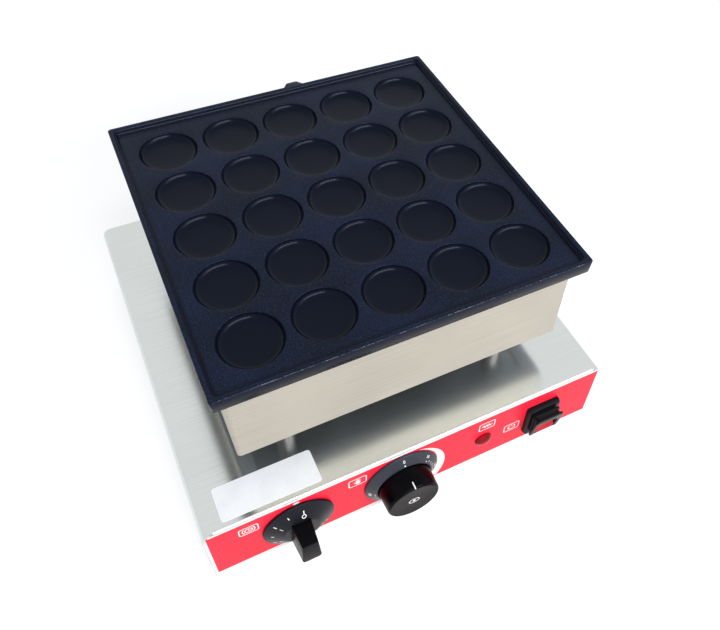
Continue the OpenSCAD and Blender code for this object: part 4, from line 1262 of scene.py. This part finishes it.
@dataclass
class RockerSwitch:
    """Black frame with a collar and a leaning hood, round a red rocker.

    Attributes:
        at: Places of the solids.
        frame: Width, height, corner radius and height over the wall of each loop, outside to inside.
        hood: Width, height and thickness of the hood.
        hood_foot: Place of the hood's foot: up from the switch's middle, and out to its underside.
        hood_rounds: Rounds on the hood's outer corners and in its window.
        hood_bite: How far the collar goes into the hood.
        collar: Height of the collar where it stands clear of the hood.
        lean_deg: Lean of the hood.
        brow: Height of the hood over its window, and half the window's width.
        rocker: Width and height of the rocker.
        pivot: Height of the rocker's axis over the wall.
        tilt_deg: Lean of the rocker at rest.
        crest: Height of the rocker's two crests over its axis.
        root: Its depth under its axis.
        dip: Depth of the dip between the crests.
        taper: Share by which its corners fall back from its ends.
    """

    at: Places
    frame: tuple[tuple[float, float, float, float], ...] = (
        (26.8, 32.0, 1.5, 0.42), (26.8, 32.0, 1.5, 2.7), (26.6, 31.8, 1.5, 3.1), (25.7, 30.9, 1.5, 4.6),
        (25.4, 30.6, 1.5, 4.86), (24.8, 30.0, 1.6, 5.0), (20.9, 24.9, 2.3, 5.0), (20.4, 24.4, 2.5, 5.1),
        (20.2, 24.2, 2.6, 5.4), (20.2, 24.2, 2.6, 6.3), (20.5, 24.5, 2.6, 6.6), (22.3, 26.3, 2.6, 6.7),
        (22.8, 26.8, 2.6, 6.9), (23.0, 27.0, 2.6, 7.2), (22.9, 26.9, 2.6, 7.7), (22.5, 26.5, 2.6, 7.96),
        (22.0, 26.0, 2.6, 8.0), (20.6, 24.6, 2.5, 8.04), (20.25, 24.25, 2.6, 8.3), (20.2, 24.2, 2.6, 8.6),
        (17.4, 21.4, 1.8, 8.6), (17.2, 21.2, 1.6, 8.3), (17.2, 21.2, 1.6, -2.0),
    )
    hood: Triple = (24.0, 24.7, 1.8)
    hood_foot: Point = (-11.0, 7.36)
    hood_rounds: Point = (4.0, 5.0)
    hood_bite: float = 0.3
    collar: float = 8.4
    lean_deg: float = 9.0
    brow: Point = (7.6, 8.9)
    rocker: Point = (16.4, 18.6)
    pivot: float = 4.4
    tilt_deg: float = 10.0
    crest: float = 3.8
    root: float = 3.6
    dip: float = 1.8
    taper: float = 0.1

    def build(self) -> None:
        """Build the frame with its hood, and the rocker."""
        place = self.at.on_front(self.at.switch)
        bm = bmesh.new()
        rings = [Ring(*ring) for ring in self.frame]
        first = rings[0].draw(bm)
        bmesh.ops.edgeloop_fill(bm, edges=grow(bm, rings, first))
        bmesh.ops.edgeloop_fill(bm, edges=first)
        slope = math.tan(math.radians(self.lean_deg))
        foot, underside = self.hood_foot
        for vert in bm.verts:
            if vert.co.z > self.collar + 0.1:
                hood = underside + (vert.co.y - foot) * slope
                vert.co.z = max(hood + self.hood_bite, self.collar)
        self._add_hood(bm)
        make_piece("switch_bezel", bm, place, BLACK_ABS, "grill", ["switch_frame"], 42.0)
        self._build_rocker(place)

    def _add_hood(self, bm: BMesh) -> None:
        """Add the leaning hood, open below.

        Args:
            bm: The frame's mesh.
        """
        kept_verts, kept_edges = set(bm.verts), set(bm.edges)
        width, height, thick = self.hood
        top, side = height - self.brow[0], self.brow[1]
        corners = [(-width / 2, 0.0), (-width / 2, height), (width / 2, height), (width / 2, 0.0)]
        corners += [(side, 0.0), (side, top), (-side, top), (-side, 0.0)]
        verts = chain(bm, [(x, y, 0.0) for x, y in corners])
        for pair, setback in zip((verts[1:3], verts[5:7]), self.hood_rounds):
            round_corners(bm, pair, setback)
        face = bmesh.ops.contextual_create(bm, geom=made_since(kept_edges, bm.edges))["faces"]
        raised = bmesh.ops.extrude_face_region(bm, geom=face, use_keep_orig=True)["geom"]
        bmesh.ops.translate(bm, vec=(0.0, 0.0, thick), verts=points_of(raised))
        soften(bm, sharp_edges(made_since(kept_edges, bm.edges), 1.2), 0.45)
        lean = Matrix.Rotation(math.radians(self.lean_deg), 4, "X")
        place = Matrix.Translation((0.0, *self.hood_foot)) @ lean
        bmesh.ops.transform(bm, matrix=place, verts=made_since(kept_verts, bm.verts))

    def _build_rocker(self, place: Matrix) -> None:
        """Build the rocker: two crests with a dip between them, and round ends.

        Args:
            place: Front frame of the switch.
        """
        bm = bmesh.new()
        width, height = self.rocker
        size = (width, height, self.crest + self.root)
        verts = block(bm, size, (0.0, 0.0, (self.crest - self.root) / 2))
        bmesh.ops.subdivide_edges(bm, edges=edges_between(verts), cuts=7, use_grid_fill=True)
        for vert in bm.verts:
            share = min(abs(vert.co.y) / (height / 2), 1.0)
            if vert.co.z > self.crest - 0.01:
                vert.co.z -= self.dip * (1 - share) ** 1.3
            vert.co.y *= 1 - self.taper * share * (2 * vert.co.x / width) ** 2
        soften(bm, sharp_edges(bm.edges), 0.5)
        tilt = Matrix.Rotation(-math.radians(self.tilt_deg), 4, "X")
        seat = place @ Matrix.Translation((0.0, 0.0, self.pivot)) @ tilt
        make_piece("rocker_button", bm, seat, RED_ROCKER, "rocker", ["switch_rocker"], 40.0)


@dataclass
class FrontPanel:
    """Printed film on the front, with its signs.

    Attributes:
        at: Places of the solids.
        border: White border at the left, below, right and above.
        stroke: Width of the signs' lines.
        sign: Width, height and corner radius of a sign's box.
        dot: Place of the timer's dot, from the middle of the front.
        wedge_deg: Start and end of the wedge, clockwise from the top.
        wedge: Its inner radius, and its width at the start and at the end.
    """

    at: Places
    border: tuple[float, float, float, float] = (1.6, 4.2, 1.9, 0.9)
    stroke: float = 0.85
    sign: Triple = (12.6, 8.8, 1.5)
    dot: Point = (-89.6, 25.6)
    wedge_deg: Point = (28.0, 131.0)
    wedge: Triple = (28.6, 0.15, 10.05)

    def build(self) -> None:
        """Dress the film and print its signs."""
        low = (self.at.film[0] + self.border[0], self.at.film[1] + self.border[1])
        high = (self.at.film[2] - self.border[2], self.at.film[3] - self.border[3])
        dress(PrintedFilm("printed polycarbonate film", low, high), "panel_film")
        ink = InkSheet()
        for draw, x, up in (
            (self._clock, -122.3, 17.0), (self._hand, -46.7, 18.2),
            (self._heat, 53.9, 17.4), (self._power, 77.2, -1.5),
        ):
            place = self._spot(x, up)
            ink.line(box_outline(*self.sign), self.stroke, place, closed=True)
            draw(ink, place)
        ink.dot(1.3, self._spot(*self.dot), 1.7)
        self._wedge(ink)
        ink.finish("panel_print", self.at.on_front(0.0), "grill")

    def _spot(self, x: float, up: float) -> Matrix:
        """Return a place on the film's face, from the middle of the front."""
        return Matrix.Translation((x, up, 0.4))

    def _clock(self, ink: InkSheet, place: Matrix) -> None:
        """Draw the sign of the timer: a clock's face between two arcs."""
        ink.line(arc(2.5, 0, 345, 23), self.stroke, place, closed=True)
        ink.line([(0.0, 1.6), (0.0, 0.0), (1.2, -0.7)], self.stroke, place)
        ink.line(arc(4.2, 225, 315, 10), self.stroke, place)
        ink.line(arc(4.2, 45, 135, 10), self.stroke, place)

    def _hand(self, ink: InkSheet, place: Matrix) -> None:
        """Draw the sign of the heat setting: an open hand."""
        ink.bar((3.4, 3.0), place @ Matrix.Translation((0.2, -1.3, 0.0)), 1.0)
        for index, length in enumerate((2.4, 3.0, 2.8, 2.2)):
            finger = Matrix.Translation((-1.1 + 0.9 * index, 0.2 + length / 2, 0.0))
            ink.bar((0.62, length), place @ finger, 0.3)
        thumb = Matrix.Translation((-2.1, -0.5, 0.0)) @ Matrix.Rotation(math.radians(38), 4, "Z")
        ink.bar((0.7, 2.2), place @ thumb, 0.34)

    def _heat(self, ink: InkSheet, place: Matrix) -> None:
        """Draw the sign of the heater: a zigzag between two level ends."""
        wave = [(-2.75 + 1.1 * step, -1.7 if step % 2 else 1.7) for step in range(6)]
        course = [(-4.6, 0.0), (-3.3, 0.0), *wave, (3.3, 0.0), (4.6, 0.0)]
        for ends in zip(course, course[1:]):
            ink.line(ends, self.stroke, place)

    def _power(self, ink: InkSheet, place: Matrix) -> None:
        """Draw the sign of the mains switch: an open ring with a stroke."""
        ink.line(arc(2.9, 32, 328, 22), self.stroke, place)
        ink.line([(0.0, 1.6), (0.0, 3.2)], self.stroke, place)

    def _wedge(self, ink: InkSheet) -> None:
        """Print the wedge that grows with the heat round the scale ring."""
        first, last = (math.radians(angle) for angle in self.wedge_deg)
        inner, thin, thick = self.wedge
        bm = ink.bm
        kept_verts, kept_faces = set(bm.verts), set(bm.faces)
        ends = chain(bm, [(0.0, inner, 0.0), (0.0, inner + 1.0, 0.0)], closed=False)
        bmesh.ops.spin(
            bm, geom=[*ends, *edges_between(ends)], cent=(0, 0, 0), axis=(0, 0, 1), angle=first - last,
            steps=48,
        )
        for vert in made_since(kept_verts, bm.verts):
            if vert.co.xy.length > inner + 0.5:
                share = max(math.atan2(vert.co.x, vert.co.y) / (last - first), 0.0)
                vert.co.xy *= (inner + thin + (thick - thin) * share) / vert.co.xy.length
        raised = bmesh.ops.extrude_face_region(bm, geom=made_since(kept_faces, bm.faces))["geom"]
        bmesh.ops.translate(bm, vec=(0.0, 0.0, ink.thickness), verts=points_of(raised))
        place = self._spot(self.at.thermostat, 0.0) @ Matrix.Rotation(-first, 4, "Z")
        bmesh.ops.transform(bm, matrix=place, verts=made_since(kept_verts, bm.verts))


@dataclass
class CarriedSolids:
    """Solids that are shown as they are, each with its finish.

    Attributes:
        finishes: Finish of each group of solids.
    """

    finishes: dict[Finish, tuple[str, ...]] = field(default_factory=lambda: {
        STEEL_TOP: ("base_cover",),
        STEEL_WALL: ("heater_box",),
        SHADED_STEEL_POST: ("support_posts",),
        DULL_SHEET: ("heater_box_floor",),
        ZINC: (
            "clamp_plate", "clamp_bolts", "plate_brackets", "plate_screws", "bulb_saddle",
            "post_bolts", "post_nuts", "wire_conduit", "bottom_plate", "bottom_screws", "foot_screws",
            "foot_nuts", "timer_case", "timer_nut", "timer_shaft", "thermostat_case", "thermostat_nut",
            "thermostat_shaft", "lamp_nut",
        ),
        WOOL: ("insulation_mat",),
        SHEATH: ("heating_element",),
        CERAMIC: ("element_bushes",),
        COPPER: ("capillary_bulb",),
        GLASS_SLEEVE: ("heater_leads",),
        BLACK_RUBBER: ("rubber_feet",),
        WHITE_LABEL: ("blank_label",),
        RED_LENS: ("lamp_lens",),
        BRASS: ("switch_terminals", "terminal_screws", "earth_stud"),
        PALE_PLASTIC: ("terminal_block",),
        WIRE_SKIN: ("base_wiring",),
        BLACK_ABS: ("cable_gland", "gland_cap", "gland_locknut"),
    })

    def build(self) -> None:
        """Dress every solid."""
        for finish, nodes in self.finishes.items():
            dress(finish, *nodes)


# Studio


def seen_ray(add: Adder) -> NodeSocket:
    """Return one for the rays that show the surround: straight, in a mirror and through glass.

    Args:
        add: Adds a node to the tree of the floor or of the world.

    Returns:
        Zero or one.
    """
    path = add("ShaderNodeLightPath").node.outputs
    seen = path["Is Camera Ray"]
    for name in ("Is Glossy Ray", "Is Transmission Ray"):
        seen = add("ShaderNodeMath", {0: seen, 1: path[name]}, operation="MAXIMUM")
    return seen


@dataclass(frozen=True)
class StudioFloor(Finish):
    """Pale painted floor, faintly uneven from the roller, brought up to white where it is seen."""

    def sockets(self, add: Adder, place: NodeSocket) -> Inputs:
        """Return what goes to the shader's sockets."""
        coat = add("ShaderNodeTexNoise", {"Vector": place, "Scale": per_mm(120.0), "Detail": 2.0})
        far = add("ShaderNodeVectorMath", {0: place}, "Value", operation="LENGTH")
        glow = add("ShaderNodeMapRange", {"Value": far, 1: 0.5, 2: 2.0, 3: 0.55, 4: 0.64})
        return {
            "Base Color": add(
                "ShaderNodeMix", {0: coat, 6: srgb("#d3d3d3"), 7: srgb("#d7d7d7")}, **COLOUR_MIX
            ),
            "Roughness": 0.9,
            "Specular IOR Level": 0.1,
            "Emission Color": srgb("#ffffff"),
            "Emission Strength": add("ShaderNodeMath", {0: seen_ray(add), 1: glow}, operation="MULTIPLY"),
        }


@dataclass(frozen=True)
class Lamp:
    """A soft lamp.

    Attributes:
        name: Its name.
        place: Its place, in metres.
        size: Its width and height, in metres.
        power: Its power in watts.
    """

    name: str
    place: Triple
    size: Point
    power: float


@dataclass
class Studio:
    """Floor, lamps, surround and camera.

    Attributes:
        at: Places of the solids.
        eye: Camera's place from the middle of the plate's floor, in millimetres.
        turn_deg: Camera's turn about Z.
        tilt_deg: Its tilt up from straight down.
        roll_deg: Its roll about its own view.
        focal_px: Focal length in pixels of the picture.
        centre_px: Pixel that the view's axis meets.
        picture_px: Size of the picture.
        lamps: The lamps.
        target: Point that the lamps face, in metres.
    """

    at: Places
    eye: Triple = (-133.44, -354.84, 353.93)
    turn_deg: float = -30.198
    tilt_deg: float = 40.782
    roll_deg: float = 4.44
    focal_px: float = 748.5
    centre_px: Point = (422.75, 278.56)
    picture_px: tuple[int, int] = (720, 630)
    lamps: tuple[Lamp, ...] = (
        Lamp("key light", (0.2, -1.15, 0.95), (1.5, 0.26), 17.0),
        Lamp("fill light", (1.05, -0.8, 1.1), (0.6, 0.6), 3.0),
    )
    target: Triple = (0.0, 0.0, 0.1)

    def build(self) -> None:
        """Set up everything round the object."""
        self._floor()
        self._surround()
        for lamp in self.lamps:
            self._hang(lamp)
        self._camera()
        bpy.context.scene.view_settings.view_transform = "Standard"

    def _floor(self) -> None:
        """Lay the floor under the feet."""
        bm = bmesh.new()
        bmesh.ops.create_grid(bm, x_segments=4, y_segments=4, size=4.0)
        mesh = bpy.data.meshes.new("floor")
        bm.to_mesh(mesh)
        bm.free()
        mesh.materials.append(StudioFloor("studio floor").material())
        floor = bpy.data.objects.new("floor", mesh)
        bpy.context.scene.collection.objects.link(floor)

    def _surround(self) -> None:
        """Set a pale surround that is white where it is seen."""
        world = bpy.data.worlds.new("studio")
        bpy.context.scene.world = world
        world.use_nodes = True
        world.node_tree.nodes.clear()
        add = partial(add_node, world.node_tree)
        light = add("ShaderNodeBackground", {"Color": srgb("#eef1f6"), "Strength": 0.62})
        white = add("ShaderNodeBackground", {"Color": srgb("#ffffff"), "Strength": 1.0})
        mixed = add("ShaderNodeMixShader", {0: seen_ray(add), 1: light, 2: white})
        add("ShaderNodeOutputWorld", {"Surface": mixed})

    def _hang(self, lamp: Lamp) -> None:
        """Hang a lamp.

        Args:
            lamp: The lamp.
        """
        data = bpy.data.lights.new(lamp.name, "AREA")
        data.shape = "RECTANGLE"
        data.size, data.size_y = lamp.size
        data.energy = lamp.power
        hung = bpy.data.objects.new(lamp.name, data)
        hung.location = lamp.place
        view = Vector(self.target) - Vector(lamp.place)
        hung.rotation_euler = view.to_track_quat("-Z", "Y").to_euler()
        bpy.context.scene.collection.objects.link(hung)

    def _camera(self) -> None:
        """Set the camera to the picture's view."""
        width, height = self.picture_px
        data = bpy.data.cameras.new("camera")
        data.sensor_width = 36.0
        data.sensor_fit = "HORIZONTAL"
        data.lens = self.focal_px / width * data.sensor_width
        data.shift_x = (width / 2 - self.centre_px[0]) / width
        data.shift_y = (self.centre_px[1] - height / 2) / width
        data.clip_start, data.clip_end = 0.01, 50.0
        camera = bpy.data.objects.new("camera", data)
        floor_level = self.at.rim - BakingPlate.rim_height
        place = Vector((*self.at.head, floor_level)) + Vector(self.eye)
        turn = (
            Matrix.Rotation(math.radians(self.turn_deg), 4, "Z")
            @ Matrix.Rotation(math.radians(self.tilt_deg), 4, "X")
            @ Matrix.Rotation(math.radians(self.roll_deg), 4, "Z")
        )
        camera.matrix_world = Matrix.Translation(place * MM) @ turn
        bpy.context.scene.collection.objects.link(camera)
        bpy.context.scene.camera = camera


def main() -> None:
    """Build the looks of the grill and its studio."""
    logging.basicConfig(level=logging.INFO, format="%(name)s: %(message)s")
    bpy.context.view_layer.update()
    at = Places.read()
    CarriedSolids().build()
    BakingPlate(at).build()
    TimerKnob(at).build()
    ThermostatKnob(at).build()
    RockerSwitch(at).build()
    FrontPanel(at).build()
    Studio(at).build()


if __name__ == "__main__":
    main()
